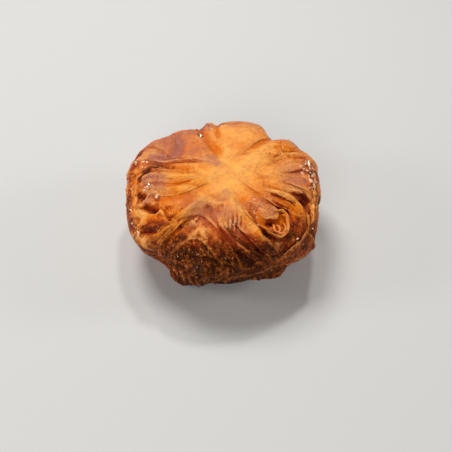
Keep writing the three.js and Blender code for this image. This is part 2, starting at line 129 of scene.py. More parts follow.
# Edges of dough that lie over their neighbours: name, way from the middle outwards, upper side (+1 left, -1 right),
# height of the edge, depth beside it, reach of both, how far its loose edge stands out, and number of loose layers.
LIPS = [
    ("back left petal", [(118, 9), (138, 18), (151, 25), (158, 33), (160, 42), (161, 50)], -1, 0.6, 0.7, 4.0, 0.2, 0),
    ("left crack, inner", [(169, 19), (168, 25), (167, 31), (167, 36)], 1, 0.3, 1.5, 1.5, 0.3, 0),
    ("left crack, outer", [(168, 28), (165, 34), (167, 38), (172, 41), (178, 43)], 1, 0.8, 3.4, 2.0, 0.7, 1),
    ("left pleat", [(196, 10), (196, 18), (191, 25), (185, 31), (183, 40)], -1, 0.35, 0.9, 2.2, 0.0, 0),
    ("second left pleat", [(219, 9), (217, 18), (209, 27), (198, 35), (190, 39)], -1, 0.3, 0.8, 2.4, 0.2, 0),
    ("whorl brow", [(198, 31), (196, 35), (196, 38.5), (198, 41), (198, 45)], 1, 1.2, 2.6, 2.0, 1.2, 2),
    ("whorl lip", [(233, 35), (227, 36.5), (220, 35.7), (215, 35.8), (211.5, 38.5), (210, 43), (209.5, 48)], 1,
     0.9, 1.8, 2.0, 0.8, 2),
    ("lower left fold", [(232, 36), (228, 41), (222, 45.5), (216, 49)], 1, 0.8, 1.8, 1.8, 0.6, 1),
    ("below left arm", [(241, 28.5), (238, 32.5), (235, 37), (231, 45), (228, 53)], -1, 0.5, 1.1, 2.4, 0.5, 1),
    ("shell, red line", [(232, 37), (236, 32), (243, 28.5), (251, 27), (261, 30), (269, 35), (276, 43)], 1, 0.6, 0.9,
     2.8, 0.2, 1),
    ("shell, outer line", [(238, 50), (245, 42), (252, 38.5), (260, 41), (268, 48)], 1, 0.2, 0.8, 2.4, 0.0, 0),
    ("first furrow", [(263, 26), (270, 34.5), (276, 39.5), (283, 44), (291, 50)], 1, 0.6, 2.0, 2.2, 0.5, 1),
    ("second furrow", [(-82, 28), (-74, 36), (-69, 42), (-63, 49)], 1, 0.6, 2.2, 2.0, 0.6, 1),
    ("third furrow", [(-75, 19), (-69, 27), (-65, 33), (-62, 39), (-58, 45)], -1, 0.4, 1.7, 2.2, 0.4, 1),
    ("front right crease", [(-22, 9), (-32, 16), (-37, 24), (-40, 29)], 1, 0.2, 0.5, 2.0, 0.0, 0),
    ("slit beside the rosette", [(-38.5, 24), (-37, 29), (-35, 33), (-34, 37)], 1, 0.5, 2.4, 1.5, 0.5, 1),
    ("slit between the rings", [(-29, 24), (-27.2, 29), (-26.2, 33), (-27.5, 38)], 1, 0.4, 1.9, 1.0, 0.4, 1),
    ("edge of the hole", [(-21, 25), (-22, 30), (-21.5, 34), (-23, 38), (-28, 43)], -1, 0.6, 2.2, 1.8, 0.6, 1),
    ("hole brow", [(-15, 33), (-12.5, 36.5), (-10.5, 40), (-11.5, 45)], 1, 1.1, 2.6, 2.4, 0.7, 2),
    ("outer ring", [(-18, 41), (-24, 44.5), (-33, 47.5), (-44, 50), (-55, 51)], 1, 0.8, 1.2, 2.2, 0.7, 1),
    ("right pleat", [(-4, 28), (-6, 33), (-7, 37), (-7, 42)], 1, 0.5, 0.6, 1.4, 0.6, 1),
    ("upper right pleat", [(8, 29), (10, 37), (12, 46)], 1, 0.5, 0.9, 2.2, 0.7, 1),
    ("right back petal", [(20, 22), (25, 29), (26, 37), (24, 47)], 1, 0.4, 0.4, 2.6, 0.0, 0),
    ("flaky ridge", [(36, 17), (40, 26), (39, 33), (33, 44)], 1, 0.4, 0.3, 2.2, 0.0, 0),
    ("back petal, right", [(58, 22), (56, 33), (54, 44), (56, 56)], 1, 0.5, 0.9, 3.4, 0.2, 0),
    ("shell, left edge", [(231, 47), (230, 58), (228.5, 69), (231, 80)], 1, 1.2, 3.2, 3.4, 0.9, 2),
    ("ear of the rosette", [(-55, 31), (-53, 32.6), (-50, 33.2), (-46.5, 34.8), (-43, 34.2), (-41.2, 32), (-39, 28.5)],
     1, 0.7, 1.6, 1.8, 0.6, 1),
    ("left wall edge", [(176, 41.5), (184, 43), (192, 43.5), (199, 46)], -1, 0.7, 1.0, 1.8, 0.8, 2),
    ("right wall edge", [(6, 44), (-6, 45), (-16, 46.5), (-28, 49)], 1, 0.7, 1.2, 2.0, 1.0, 2),
    ("front right foot", [(-86, 62), (-70, 56), (-54, 57), (-40, 62)], 1, 0.7, 1.2, 2.6, 0.8, 1),
]
LIP_STEP = 0.6  # half the width over which the height changes sides
LOOSE_THICK = 0.38  # thickness of a loose edge
LOOSE_INNER = 2.6  # how far a loose edge reaches back over its own side
LOOSE_STEP = 0.62  # how far each further loose layer lies below the one above it
LIP_LAYER_PITCH, LIP_LAYER_RISE = 1.15, 0.1  # thin layers along the rim
LIP_FINE_REACH = 7  # how far beside its line a lip wavers and has thin layers
NO_LIP = 12.0  # distance that stands for no lip near

# Folds down the flank, from the front right round the back to the left side.
FLANK_FOLDS = {"first": -34, "last": 188, "count": 11, "top": 49, "foot": 80, "sway": 7}
FLANK_FOLD_SECTION = (0.9, 2.1, 3.6, 0.9)  # height, depth, reach of both, how far the loose edge stands out
FLANK_FOLD_LAYERS = (2, 0, 1)  # loose layers of one fold after another

# Hollows between the folds: place, half widths, depth. Their insides get painted shade.
PITS = [
    ("whorl, upper cavity", (193.5, 40.6), (2.8, 2.6), 2.4),
    ("whorl, cavity", (210, 37), (1.8, 1.6), 1.2),
    ("hole under the brow", (-17, 41), (2.8, 3.4), 2.8),
    ("back hole", (110, 35.5), (1.5, 1.7), 1.8),
    ("left hollow", (170, 38.5), (2.2, 2.4), 1.6),
    ("notch at the foot", (215.5, 74.5), (5.2, 5), 7.2),
    ("beside the rosette", (-52, 35), (2.6, 1.6), 1.8),
    ("under the rosette", (-60, 38.5), (2.2, 2.6), 1.6),
]

# Fine creases that only the crust has: way, depth, half width. Each gets painted shade.
CREASES = [
    ([(170, 8), (197, 16), (193, 23), (185, 27)], 0.3, 0.6),
    ([(116, 8), (146, 19), (156, 23), (160, 29)], 0.2, 0.6),
    ([(152, 22), (158, 29), (163, 34)], 0.4, 0.5),
    ([(226, 9), (219, 14), (206, 18)], 0.35, 0.6),
    ([(192, 38), (204, 26), (209, 17)], 0.3, 0.6),
    ([(174, 30), (186, 32), (190, 36)], 0.4, 0.7),
    ([(224, 52), (230, 43), (235, 37.5)], 0.7, 0.7),
    ([(232, 32), (235, 30), (240, 28), (244, 25)], 0.35, 0.5),
    ([(236, 32), (241, 29)], 0.35, 0.5),
    ([(-66, 20), (-68, 27), (-64, 34)], 0.6, 0.6),
    ([(21, 25), (28, 35), (36, 47)], 0.4, 0.8),
    ([(-11, 22), (-12, 26), (-14, 31)], 0.25, 0.5),
    ([(-4, 29), (-5.5, 33)], 0.5, 0.5),
    ([(8, 32), (10, 37), (11, 43)], 1.0, 0.5),
    ([(-6.5, 34), (-7, 40)], 0.6, 0.5),
    ([(-21, 10), (-32, 15), (-36, 25), (-35, 32), (-31, 36)], 0.4, 0.6),
    ([(-35, 27), (-36, 31), (-32, 36)], 0.9, 0.5),
    ([(-29, 24), (-29, 28), (-26, 31)], 0.9, 0.5),
    ([(-27, 31), (-26, 37)], 1.1, 0.5),
    ([(-83, 36), (-76, 40), (-71, 43)], 0.6, 0.6),
    ([(-92, 30), (-82, 37), (-73, 44), (-66, 50)], 0.9, 0.7),
    ([(147, 20), (149, 32), (148, 44)], 0.5, 1.4),
    ([(23, 34), (23, 39), (22, 45)], 0.7, 0.6),
    ([(26, 26), (31, 33), (29, 42)], 0.5, 0.6),
    ([(214, 46), (224, 44.5), (228, 41)], 0.8, 0.6),
]

ROSETTE_BOWL = {"at": (-48, 38), "wide": 5.8, "deep": 3.2}

# Upright sheets of the rosette: way, height, seed.
ROSETTE_SHEETS = [
    ([(-43.5, 31.4), (-41, 32.3), (-38.8, 34), (-38.3, 36.2), (-40, 38.4), (-42.5, 40.5), (-45.5, 42.3), (-49.5, 42.9),
      (-53, 42.8), (-56, 41), (-58.5, 37.5), (-61, 34)], 2.6, 61),
    ([(-41, 34.6), (-39.7, 36.6), (-41.3, 38.8), (-44.5, 41.1), (-49.5, 42), (-53, 41.4)], 2.5, 62),
    ([(-43, 38.6), (-46, 40.8), (-50, 41.7), (-53, 41.1)], 2.1, 64),
    ([(-49.3, 35.2), (-51, 37.4), (-52.6, 39.6), (-50.4, 40.2), (-48.4, 38.8), (-48, 37.4)], 1.7, 63),
]
ROSETTE_THICK = 0.8
ROSETTE_SUNK = 1.6  # depth of a sheet's foot below the crust
SHEET_SECTION = ((-1.0, -1.1, -0.8, 0.0, 0.8, 1.1, 1.0), (-1.0, 0.3, 0.93, 1.0, 0.93, 0.3, -1.0))  # sides, levels

FLAKE_THICK = 0.3

# Places of loose flakes: place, half widths, share.
FLAKE_PATCHES = [
    ((256, 47), (20, 9), 1.0),
    ((262, 60), (34, 12), 1.0),
    ((-60, 58), (22, 10), 0.8),
    ((33, 31), (7, 10), 1.0),
    ((236, 32), (6, 6), 1.6),
    ((0, 44), (14, 6), 0.7),
    ((180, 50), (16, 10), 0.5),
    ((90, 60), (50, 12), 0.25),
    ((-56, 28), (4, 5), 1.6),
    ((170, 33), (5, 6), 1.2),
]

SUGAR_LIFT = 0.12  # height of a grain's middle above the crust

# Clusters of sugar: place, half widths, number, size of a grain.
SUGAR = [
    ((17, 42), (3, 1.6), 14, 1.3),
    ((7, 43), (4, 2.6), 26, 1.1),
    ((12, 38.5), (3, 2), 8, 1.0),
    ((-2, 44), (3, 2), 6, 0.9),
    ((160, 44), (4, 2.4), 10, 1.2),
    ((164, 41), (2.4, 2), 5, 1.1),
    ((174, 34), (4, 1.0), 5, 0.7),
    ((181, 46), (0.6, 1.4), 3, 1.2),
    ((189, 36), (3, 2.4), 8, 0.9),
    ((195, 34), (2.4, 1), 5, 0.8),
    ((201, 33), (0.9, 0.7), 5, 1.5),
    ((110, 36), (0.7, 0.7), 3, 1.3),
    ((92, 37), (0.4, 1.2), 3, 1.0),
    ((206, 50), (4, 1.4), 9, 1.0),
    ((196, 48), (2, 1.4), 5, 0.9),
    ((-44, 50), (4, 2), 6, 0.7),
    ((250, 48), (20, 12), 22, 0.5),
    ((-60, 34), (6, 6), 10, 0.6),
    ((277, 30), (2, 2), 4, 0.7),
    ((30, 33), (7, 6), 16, 0.6),
    ((-54, 25), (3.5, 4), 14, 0.6),
    ((280, 31), (3, 2), 6, 0.6),
    ((90, 50), (60, 10), 30, 0.6),
    ((-20, 50), (10, 5), 8, 0.8),
]

# Clusters of caramel drops: place, half widths, number, size of a drop.
CARAMEL = [
    ((182, 47), (16, 4), 44, 1.3),
    ((195, 40), (5, 5), 20, 1.2),
    ((199, 34), (5, 3), 14, 1.0),
    ((210, 49), (10, 3), 30, 1.1),
    ((222, 34), (8, 6), 14, 1.4),
    ((236, 33), (6, 5), 16, 1.0),
    ((252, 45), (16, 8), 40, 0.9),
    ((250, 62), (16, 9), 44, 1.0),
    ((280, 31), (4, 4), 10, 0.8),
    ((-78, 42), (8, 7), 18, 1.0),
    ((-54, 25), (4, 5), 20, 0.9),
    ((-67, 38), (3, 4), 8, 1.2),
    ((-45, 38), (7, 5), 14, 0.8),
    ((-30, 30), (4, 8), 10, 0.9),
    ((-14, 38), (4, 5), 10, 0.9),
    ((-20, 48), (14, 4), 30, 1.0),
    ((10, 43), (8, 4), 24, 1.2),
    ((32, 32), (7, 9), 26, 0.9),
    ((106, 40), (5, 5), 14, 1.2),
    ((166, 32), (5, 6), 16, 1.0),
    ((190, 30), (10, 9), 12, 0.8),
    ((-50, 60), (20, 8), 30, 1.1),
    ((90, 55), (60, 14), 50, 1.1),
]
DROP_SECTION = ((1.0, 1.05, 0.75, 0.25), (-0.9, 0.0, 0.7, 1.0))  # half widths and levels, from the foot to the top
DROP_LIFT = 0.08  # height of a drop above the crust

WALL_LAYERS = {"start": 54, "end": 84, "pitch": 7.5, "deep": 1.3, "wave": 3.0}
GATHERS = {"at": (262, 69), "across": 24, "along": 8, "pitch": 7.2, "deep": 0.7}
UNEVENNESS = [(38, 0.8), (17, 0.45)]  # length and height of the waves


# ---- numbers -------------------------------------------------------------------------------------------------------
def smooth(low, high, x):
    """0 below low, 1 above high, and a cubic step between them."""
    t = np.clip((x - low) / (high - low), 0, 1)
    return t * t * (3 - 2 * t)


def hill(x, y=0.0):
    """A round hill of height 1 whose half width is 1."""
    return np.exp(-(x * x + y * y))


def uneven(x, y, size, seed):
    """Crossing sine waves about size mm long, from -1 to 1."""
    k = 2 * np.pi / size
    a = np.sin(k * (0.83 * x + 0.56 * y) + 1.7 * seed + 1.1 * np.sin(k * 0.61 * y + seed))
    b = np.sin(k * (0.71 * y - 0.49 * x) + 2.3 * seed + 0.9 * np.sin(k * 0.53 * x - seed))
    return 0.5 * (a + b)


def lattice(corner, seed):
    """A fixed random value from -1 to 1 for each whole-number corner of a lattice."""
    x, y, z = (corner[..., i].astype(np.int64) for i in range(3))
    n = (x * 73856093) ^ (y * 19349663) ^ (z * 83492791) ^ (seed * 2654435761)
    n = (n ^ (n >> 13)) * 1274126177
    n = (n ^ (n >> 16)) & 0xFFFFFF
    return n / 0x7FFFFF - 1.0


def noise(points, size, seed):
    """Values of a random lattice size mm wide, blended smoothly between its corners."""
    p = np.asarray(points) / size
    cell = np.floor(p)
    t = p - cell
    t = t * t * t * (t * (6 * t - 15) + 10)
    total = 0.0
    for corner in np.ndindex(2, 2, 2):
        weight = np.prod(np.where(corner, t, 1 - t), axis=-1)
        total = total + weight * lattice(cell + corner, seed)
    return total


def rough(points, size, seed, octaves=4):
    """Noise of several sizes, each half as large and half as strong as the one before."""
    total = sum(0.5**i * noise(points, size / 2**i, seed + i) for i in range(octaves))
    return total / (2 - 0.5 ** (octaves - 1))


def crags(points, size, seed, octaves=3):
    """Sharp crests from 0 to 1 where rough noise changes sign."""
    total = 0.0
    for i in range(octaves):
        total = total + 0.5**i * (1 - np.abs(noise(points, size / 2**i, seed + i)) * 2.2)
    return np.clip(total / (2 - 0.5 ** (octaves - 1)), -0.5, 1)


# ---- the skin ------------------------------------------------------------------------------------------------------
def make_meridian(steps=800):
    """Radius and height along the skin: a superellipse from the top to the waist and another to the foot."""
    a = np.linspace(0, np.pi / 2, steps + 1)
    cosine = np.maximum(0, np.cos(a))
    across, up = CROWN_FULLNESS
    crown_r = WAIST_RADIUS * np.sin(a) ** (2 / across)
    crown_z = WAIST_HEIGHT + (CROWN_HEIGHT - WAIST_HEIGHT) * cosine ** (2 / up)
    across, up = FLANK_FULLNESS
    flank_r = FOOT_RADIUS + (WAIST_RADIUS - FOOT_RADIUS) * cosine ** (2 / across)
    flank_z = WAIST_HEIGHT * (1 - np.sin(a) ** (2 / up))
    r = np.concatenate([crown_r, flank_r[1:]])
    z = np.concatenate([crown_z, flank_z[1:]])
    arc = np.concatenate([[0], np.cumsum(np.hypot(np.diff(r), np.diff(z)))])
    return arc, r, z


MERIDIAN_ARC, MERIDIAN_R, MERIDIAN_Z = make_meridian()
MERIDIAN_LENGTH = MERIDIAN_ARC[-1]


def meridian(arc):
    """Radius and height of the smooth form at an arc."""
    return np.interp(arc, MERIDIAN_ARC, MERIDIAN_R), np.interp(arc, MERIDIAN_ARC, MERIDIAN_Z)


def skin_point(bearing, arc, high):
    """Points high mm above the smooth form, square to it. The bearing is in radians."""
    r, z = meridian(arc)
    r0, z0 = meridian(arc - 0.8)
    r1, z1 = meridian(arc + 0.8)
    length = np.hypot(r1 - r0, z1 - z0)
    radius = np.maximum(0, r - high * (z1 - z0) / length)
    level = np.maximum(0, z + high * (r1 - r0) / length)
    return np.stack([radius * np.cos(bearing), radius * np.sin(bearing), level], axis=-1)


def flat_at(bearing, arc):
    """The skin laid out flat round the middle of the top, with the flank packed closer."""
    way = np.where(arc < SHOULDER_ARC, arc, SHOULDER_ARC + FLANK_PACKING * (arc - SHOULDER_ARC))
    return way * np.cos(bearing), way * np.sin(bearing)


def place_of(x, y):
    """Bearing in radians and arc of a point of the flat layout."""
    way = np.hypot(x, y)
    arc = np.where(way < SHOULDER_ARC, way, SHOULDER_ARC + (way - SHOULDER_ARC) / FLANK_PACKING)
    return np.arctan2(y, x), arc


def offset_from(bearing, arc, at):
    """Offsets of places from a centre, in mm across and along the meridian."""
    turn = bearing - math.radians(at[0])
    turn = np.arctan2(np.sin(turn), np.cos(turn))
    return turn * np.maximum(4, meridian(arc)[0]), arc - at[1]


def patch(bearing, arc, at, size):
    """A soft round mark at a place of the skin, from 0 to 1."""
    across, along = offset_from(bearing, arc, at)
    return hill(across / size[0], along / size[1])


def keep_stronger(mark, values, at=...):
    """Raises a mark to new values where these are stronger, at some places or at all."""
    mark[at] = np.maximum(mark[at], values)


def strongest(patches, bearing, arc):
    """The strongest of several patches at each place."""
    best = np.zeros_like(arc)
    for at, size, strength in patches:
        keep_stronger(best, strength * patch(bearing, arc, at, size))
    return best


def spline(way, steps=8):
    """A Catmull-Rom line through places, on the flat layout, with steps points between two of them."""
    places = np.array(way, float)
    knots = np.stack(flat_at(np.radians(places[:, 0]), places[:, 1]), axis=-1)
    count = len(knots)
    t = np.linspace(0, count - 1, steps * (count - 1) + 1)
    i = np.minimum(t.astype(int), count - 1)
    w = (t - i)[:, None]
    p0, p1 = knots[np.maximum(i - 1, 0)], knots[i]
    p2, p3 = knots[np.minimum(i + 1, count - 1)], knots[np.minimum(i + 2, count - 1)]
    v0, v1 = (p2 - p0) / 2, (p3 - p1) / 2
    return (2 * p1 - 2 * p2 + v0 + v1) * w**3 + (-3 * p1 + 3 * p2 - 2 * v0 - v1) * w**2 + v0 * w + p1


def beside(line, x, y, reach=15.0):
    """Which points lie within reach of a line's box, and for these the distance, the distance to the left, the
    share of the line and its direction at the nearest point.
    """
    low, high = line.min(0) - reach, line.max(0) + reach
    near = np.nonzero((x > low[0]) & (x < high[0]) & (y > low[1]) & (y < high[1]))[0]
    px, py = x[near], y[near]
    best = np.full(len(near), 1e9)
    left, share = np.zeros(len(near)), np.zeros(len(near))
    for i in range(len(line) - 1):
        dx, dy = line[i + 1] - line[i]
        size = math.hypot(dx, dy)
        t = np.clip(((px - line[i, 0]) * dx + (py - line[i, 1]) * dy) / (size * size), 0, 1)
        ox, oy = px - line[i, 0] - t * dx, py - line[i, 1] - t * dy
        square = ox * ox + oy * oy
        closer = square < best
        best = np.where(closer, square, best)
        left = np.where(closer, (dx * oy - dy * ox) / size, left)
        share = np.where(closer, (i + t) / (len(line) - 1), share)
    return near, np.sqrt(best), left, share


def fade(share):
    """Folds fade in at their inner end and out at their outer one."""
    return smooth(-0.1, 0.28, share) * (1 - smooth(0.85, 1.12, share))


def flank_folds():
    """Folds at uneven steps round the flank, which sway to either side and turn up either edge."""
    first, last, count = FLANK_FOLDS["first"], FLANK_FOLDS["last"], FLANK_FOLDS["count"]
    top, foot, sway = FLANK_FOLDS["top"], FLANK_FOLDS["foot"], FLANK_FOLDS["sway"]
    folds = []
    for i in range(count):
        bearing = first + (last - first) * (i + 0.3 * math.sin(2.4 * i)) / (count - 1)
        bend = sway * math.sin(1.9 * i + 0.5)
        middle = top + 0.45 * (foot - top)
        way = [(bearing, top), (bearing + bend, middle), (bearing - 0.4 * bend, foot)]
        side = 1 if math.sin(2.7 * i) > 0 else -1
        layers = FLANK_FOLD_LAYERS[i % len(FLANK_FOLD_LAYERS)]
        folds.append((f"flank fold {i + 1}", way, side, *FLANK_FOLD_SECTION, layers))
    return folds


Lip = namedtuple("Lip", "name way side up down wide reach layers")
ALL_LIPS = [Lip(*lip) for lip in LIPS + flank_folds()]
LIP_LINES = [spline(lip.way) for lip in ALL_LIPS]
ARM_LINES = [spline(arm[1]) for arm in ARMS]
CREASE_LINES = [spline(crease[0]) for crease in CREASES]


def add_arms(x, y, high, marks):
    """Adds the rounded arms: a hill across each line, which fades out at both ends."""
    for (_, _, rise, wide), line in zip(ARMS, ARM_LINES):
        near, distance, _, share = beside(line, x, y)
        form = fade(share) * hill(distance / wide)
        high[near] += rise * form
        if rise > 0:
            keep_stronger(marks["ridge"], form, near)


def add_lips(x, y, ground, high, marks, fine, over):
    """Adds the lips: a step across each line, up on one side and down on the other, which dies away from it.

    The lower side gets painted shade as a crease, and the rim a painted highlight as an edge. The fine part makes
    the line waver, and lays thin layers along the rim. Of the lip called over, only the upper side is added, on both
    sides of the line.
    """
    nearest = np.full_like(x, NO_LIP)
    for k, (lip, line) in enumerate(zip(ALL_LIPS, LIP_LINES)):
        near, distance, left, share = beside(line, x, y)
        across = lip.side * left
        strength = fade(share)
        if k == over:
            high[near] += strength * np.exp(-distance / lip.wide) * lip.up
            continue
        closer = distance < nearest[near]
        nearest[near] = np.where(closer, distance, nearest[near])
        marks["beyond"][near] = np.where(closer, across, marks["beyond"][near])
        close = distance < LIP_FINE_REACH
        if fine:
            at = ground[near][close]
            across[close] += 0.3 * noise(at, 3.1, 40 + k) + 0.12 * noise(at, 1.2, 90 + k)
        step = np.tanh(across / LIP_STEP)
        high[near] += strength * np.exp(-distance / lip.wide) * step * np.where(across > 0, lip.up, lip.down)
        depth = strength * min(1, (lip.up + lip.down) / 3.2) ** 1.6
        # painted shade on the lower side, next to the step
        dark = np.where(across < 0.3, np.exp(-np.maximum(0, distance - 0.2) / (0.25 + 0.25 * lip.down)), 0)
        keep_stronger(marks["crease"], depth * dark, near)
        # painted highlight along the upper rim
        keep_stronger(marks["edge"], strength * np.where(across > 0, hill((across - 0.3) / 0.7), 0), near)
        if fine:
            layers = np.sin(2 * np.pi * across[close] / LIP_LAYER_PITCH + 3 * noise(at, 6, 130 + k))
            high[near[close]] += LIP_LAYER_RISE * strength[close] * layers * hill((across[close] - 1.2) / 2.2)


def add_swells(bearing, arc, high, marks):
    """Adds the swellings, and sinks the rosette's bowl and the pits, whose insides get painted shade."""
    for _, at, size, rise in SWELLS:
        high += rise * patch(bearing, arc, at, size)
    for _, at, size, deep in PITS:
        form = patch(bearing, arc, at, size)
        high -= deep * form
        # painted shade inside the pit
        keep_stronger(marks["crease"], smooth(0.25, 0.9, form))
    wide = ROSETTE_BOWL["wide"]
    high -= ROSETTE_BOWL["deep"] * patch(bearing, arc, ROSETTE_BOWL["at"], (wide, wide))


def wall_layers(arc, x, y):
    """Broad layers of the flank: rounded steps along the arc, in waves."""
    t = (arc + WALL_LAYERS["wave"] * uneven(x, y, 30, 7)) / WALL_LAYERS["pitch"]
    part = t - np.floor(t)
    section = 1.6 * part**0.5 * (1 - part) ** 0.8 - 0.4
    start, end = WALL_LAYERS["start"], WALL_LAYERS["end"]
    return WALL_LAYERS["deep"] * section * smooth(start, start + 6, arc) * (1 - smooth(end - 8, end, arc))


def gathers(bearing, arc):
    """Upright gathers at the foot of the front: a sine wave across, which leans and fades out to all sides."""
    across, down = offset_from(bearing, arc, GATHERS["at"])
    wave = np.sin(2 * np.pi * across / GATHERS["pitch"] + 0.12 * down)
    return GATHERS["deep"] * wave * hill(across / GATHERS["across"], down / GATHERS["along"])


def relief(bearing, arc, fine=True, over=None):
    """Height of the folded skin over the smooth form, and its marks: how strongly each place gets painted shade as a
    crease, a painted highlight as an edge, or is a ridge, how far it lies across the nearest lip, and its height
    before the relief fades out at the foot.

    The height adds up arms (ridges), lips (steps), swells, pits, layers and gathers, and the fine part.
    """
    x, y = flat_at(bearing, arc)
    ground = skin_point(bearing, arc, 0)
    high = np.zeros_like(x)
    # crease marks painted shade, edge a painted highlight, ridge the arms that are painted more golden
    marks = {key: np.zeros_like(x) for key in ("crease", "edge", "ridge")}
    marks.update(high=high, beyond=np.full_like(x, NO_LIP))
    add_arms(x, y, high, marks)
    add_lips(x, y, ground, high, marks, fine, over)
    add_swells(bearing, arc, high, marks)
    for seed, (size, rise) in enumerate(UNEVENNESS, 3):
        high += rise * uneven(x, y, size, seed)
    high += wall_layers(arc, x, y) + gathers(bearing, arc)
    if fine:
        calm = strongest(CALM, bearing, arc)
        flank = smooth(SHOULDER_ARC, SHOULDER_ARC + 10, arc)
        add_creases(x, y, ground, high, marks)
        add_wrinkles(bearing, arc, ground, calm, high, marks)
        add_ledges(arc, ground, flank, high, marks)
        add_crags(bearing, arc, ground, flank, high, marks)
        add_stripes(bearing, arc, ground, high, marks)
        high += (0.2 * rough(ground, 4, 41) + 0.17 * noise(ground, 1.4, 45)) * (1 - 0.65 * calm)
    foot = 1 - smooth(MERIDIAN_LENGTH - FOOT_FADE, MERIDIAN_LENGTH, arc)
    return high * foot, marks


# Places where the crust is smooth: place, half widths, strength.
CALM = [
    ((140, 32), (14, 12), 0.9),
    ((78, 36), (17, 14), 0.9),
    ((4, 28), (11, 8), 0.7),
    ((0, 0), (8, 8), 0.5),
    ((252, 24), (13, 5), 0.75),
    ((219, 41), (9, 6), 0.9),
    ((205, 44), (6, 4), 0.8),
    ((225, 34), (7, 6), 0.6),
]
# Places where the crust is flaky: place, half widths, height of the crags, strength of the painted shade between them.
FLAKY = [
    ((36, 33), (6, 8), 0.3, 0.0),
    ((24, 38), (5, 8), 0.4, 0.2),
    ((250, 44), (16, 10), 0.8, 0.5),
    ((258, 56), (30, 12), 0.95, 0.55),
    ((262, 76), (30, 9), 0.45, 0.4),
    ((-62, 58), (22, 10), 0.6, 0.7),
    ((236, 31), (4, 5), 0.45, 0.3),
    ((252, 36), (7, 3.4), 0.6, 0.3),
    ((-54, 25), (3.5, 5), 0.5, 0.3),
    ((-47, 30), (5, 3), 0.5, 0.2),
    ((7, 44), (7, 5), 0.6, 0.6),
    ((168, 31), (5, 6), 0.5, 0.6),
    ((208, 49), (12, 4), 0.35, 0.3),
    ((-20, 47), (12, 6), 0.4, 0.5),
]
# Fine stripes: place, half widths, pitch, height, turn of the stripes from the meridian in degrees.
STRIPES = [
    ("strap of the shell", (231, 38), (3.4, 9), 1.25, 0.34, 23),
    ("drape", (279, 30), (4.4, 4), 2.0, 0.5, 6),
    ("right wall, upper", (-24, 49), (12, 5), 1.9, 0.4, 80),
    ("left wall", (184, 52), (9, 8), 2.2, 0.3, 90),
    ("right wall", (-14, 52), (14, 8), 2.0, 0.35, 84),
    ("foot of the shell", (249, 64), (15, 9), 3.1, 1.0, 0),
    ("foot at the front", (-80, 70), (16, 8), 3.4, 0.4, 6),
]

WRINKLE_RISE = 0.24
LEDGE_PITCH, LEDGE_RISE = 2.3, 0.42
CRAG_SIZE, TEAR_SIZE = 2.8, 2.0
# FLANK_CRAGS also sets the strength of the painted shade between the crags on the flank.
FLANK_CRAGS = 0.25  # height of the crags, and darkness between them, all over the flank


def add_creases(x, y, ground, high, marks):
    """Presses in the fine creases: grooves with painted shade along each line, which waver and fade out at both ends.
    """
    for (_, deep, wide), line in zip(CREASES, CREASE_LINES):
        near, distance, _, share = beside(line, x, y, 5.0)
        form = fade(share) * hill((distance + 0.3 * noise(ground[near], 2.5, 200)) / wide)
        high[near] -= deep * form
        # painted shade in the groove
        keep_stronger(marks["crease"], min(1, 0.9 * deep) * form, near)


def add_wrinkles(bearing, arc, ground, calm, high, marks):
    """Adds wrinkles: noise drawn out along the meridian, except in the middle of the top and in calm places. The
    deepest troughs get painted shade.
    """
    off_middle = smooth(6, 18, arc) * (1 - 0.75 * calm)
    around = bearing * np.maximum(meridian(arc)[0], 10) + 0.6 * noise(ground, 6, 6)
    stretched = np.stack([around, arc / 5.0, 0 * arc], axis=-1)
    wrinkle = noise(stretched + 30, 2.6, 7) + 0.6 * noise(stretched + 60, 1.3, 8)
    high += WRINKLE_RISE * off_middle * wrinkle
    # painted shade in the deepest troughs
    keep_stronger(marks["crease"], 0.35 * off_middle * smooth(-0.45, -0.95, wrinkle))


def add_ledges(arc, ground, flank, high, marks):
    """Adds thin layers down the flank: saw teeth along the arc, made to waver by noise, with painted shade in each
    gap.
    """
    ledge = (arc + 2.2 * rough(ground, 9, 11) + 1.2 * noise(ground, 3.0, 12)) / LEDGE_PITCH
    part = ledge - np.floor(ledge)
    high += LEDGE_RISE * flank * (part**0.6 - 0.5)
    # painted shade in the gap at each layer
    keep_stronger(marks["crease"], 0.55 * flank * hill((part - 0.02) / 0.16))


def add_crags(bearing, arc, ground, flank, high, marks):
    """Adds crags on the flank and in flaky places: torn crests with painted highlights, and painted shade between
    them.
    """
    crag, torn = crags(ground + 5, CRAG_SIZE, 21), rough(ground, TEAR_SIZE, 25)
    amount, dark = FLANK_CRAGS * flank, FLANK_CRAGS * flank
    for at, size, deep, darkness in FLAKY:
        form = patch(bearing, arc, at, size)
        amount, dark = np.maximum(amount, deep * form), np.maximum(dark, darkness * form)
    high += amount * (crag - 0.45 + 0.5 * torn)
    # painted shade between the crags
    keep_stronger(marks["crease"], 0.8 * dark * smooth(0.3, -0.2, crag + 0.4 * torn))
    # painted highlight on the crests of the crags
    keep_stronger(marks["edge"], np.clip(amount, 0, 0.8) * smooth(0.45, 0.9, crag + 0.3 * torn))


def add_stripes(bearing, arc, ground, high, marks):
    """Adds fine stripes: a sine wave across their direction, of uneven strength, with painted shade in its floors and
    a painted highlight on its crests.
    """
    for k, (_, at, size, pitch, deep, turn) in enumerate(STRIPES):
        across, down = offset_from(bearing, arc, at)
        t = across * math.cos(math.radians(turn)) + down * math.sin(math.radians(turn))
        wave = np.sin(2 * np.pi * t / pitch + 2.2 * noise(ground, 4.5, 31 + k))
        strength = np.clip(0.85 + 0.7 * noise(ground, 6.5, 61 + k), 0.1, 1.3)
        form = hill(across / size[0], down / size[1]) * strength
        high += deep * form * wave
        # painted shade in the floors of the stripes
        keep_stronger(marks["crease"], 0.9 * form * smooth(0.1, 1.0, -wave))
        # painted highlight on their crests
        keep_stronger(marks["edge"], 0.8 * form * smooth(0.3, 1.0, wave))


FRONT_WIDE = math.radians(62)


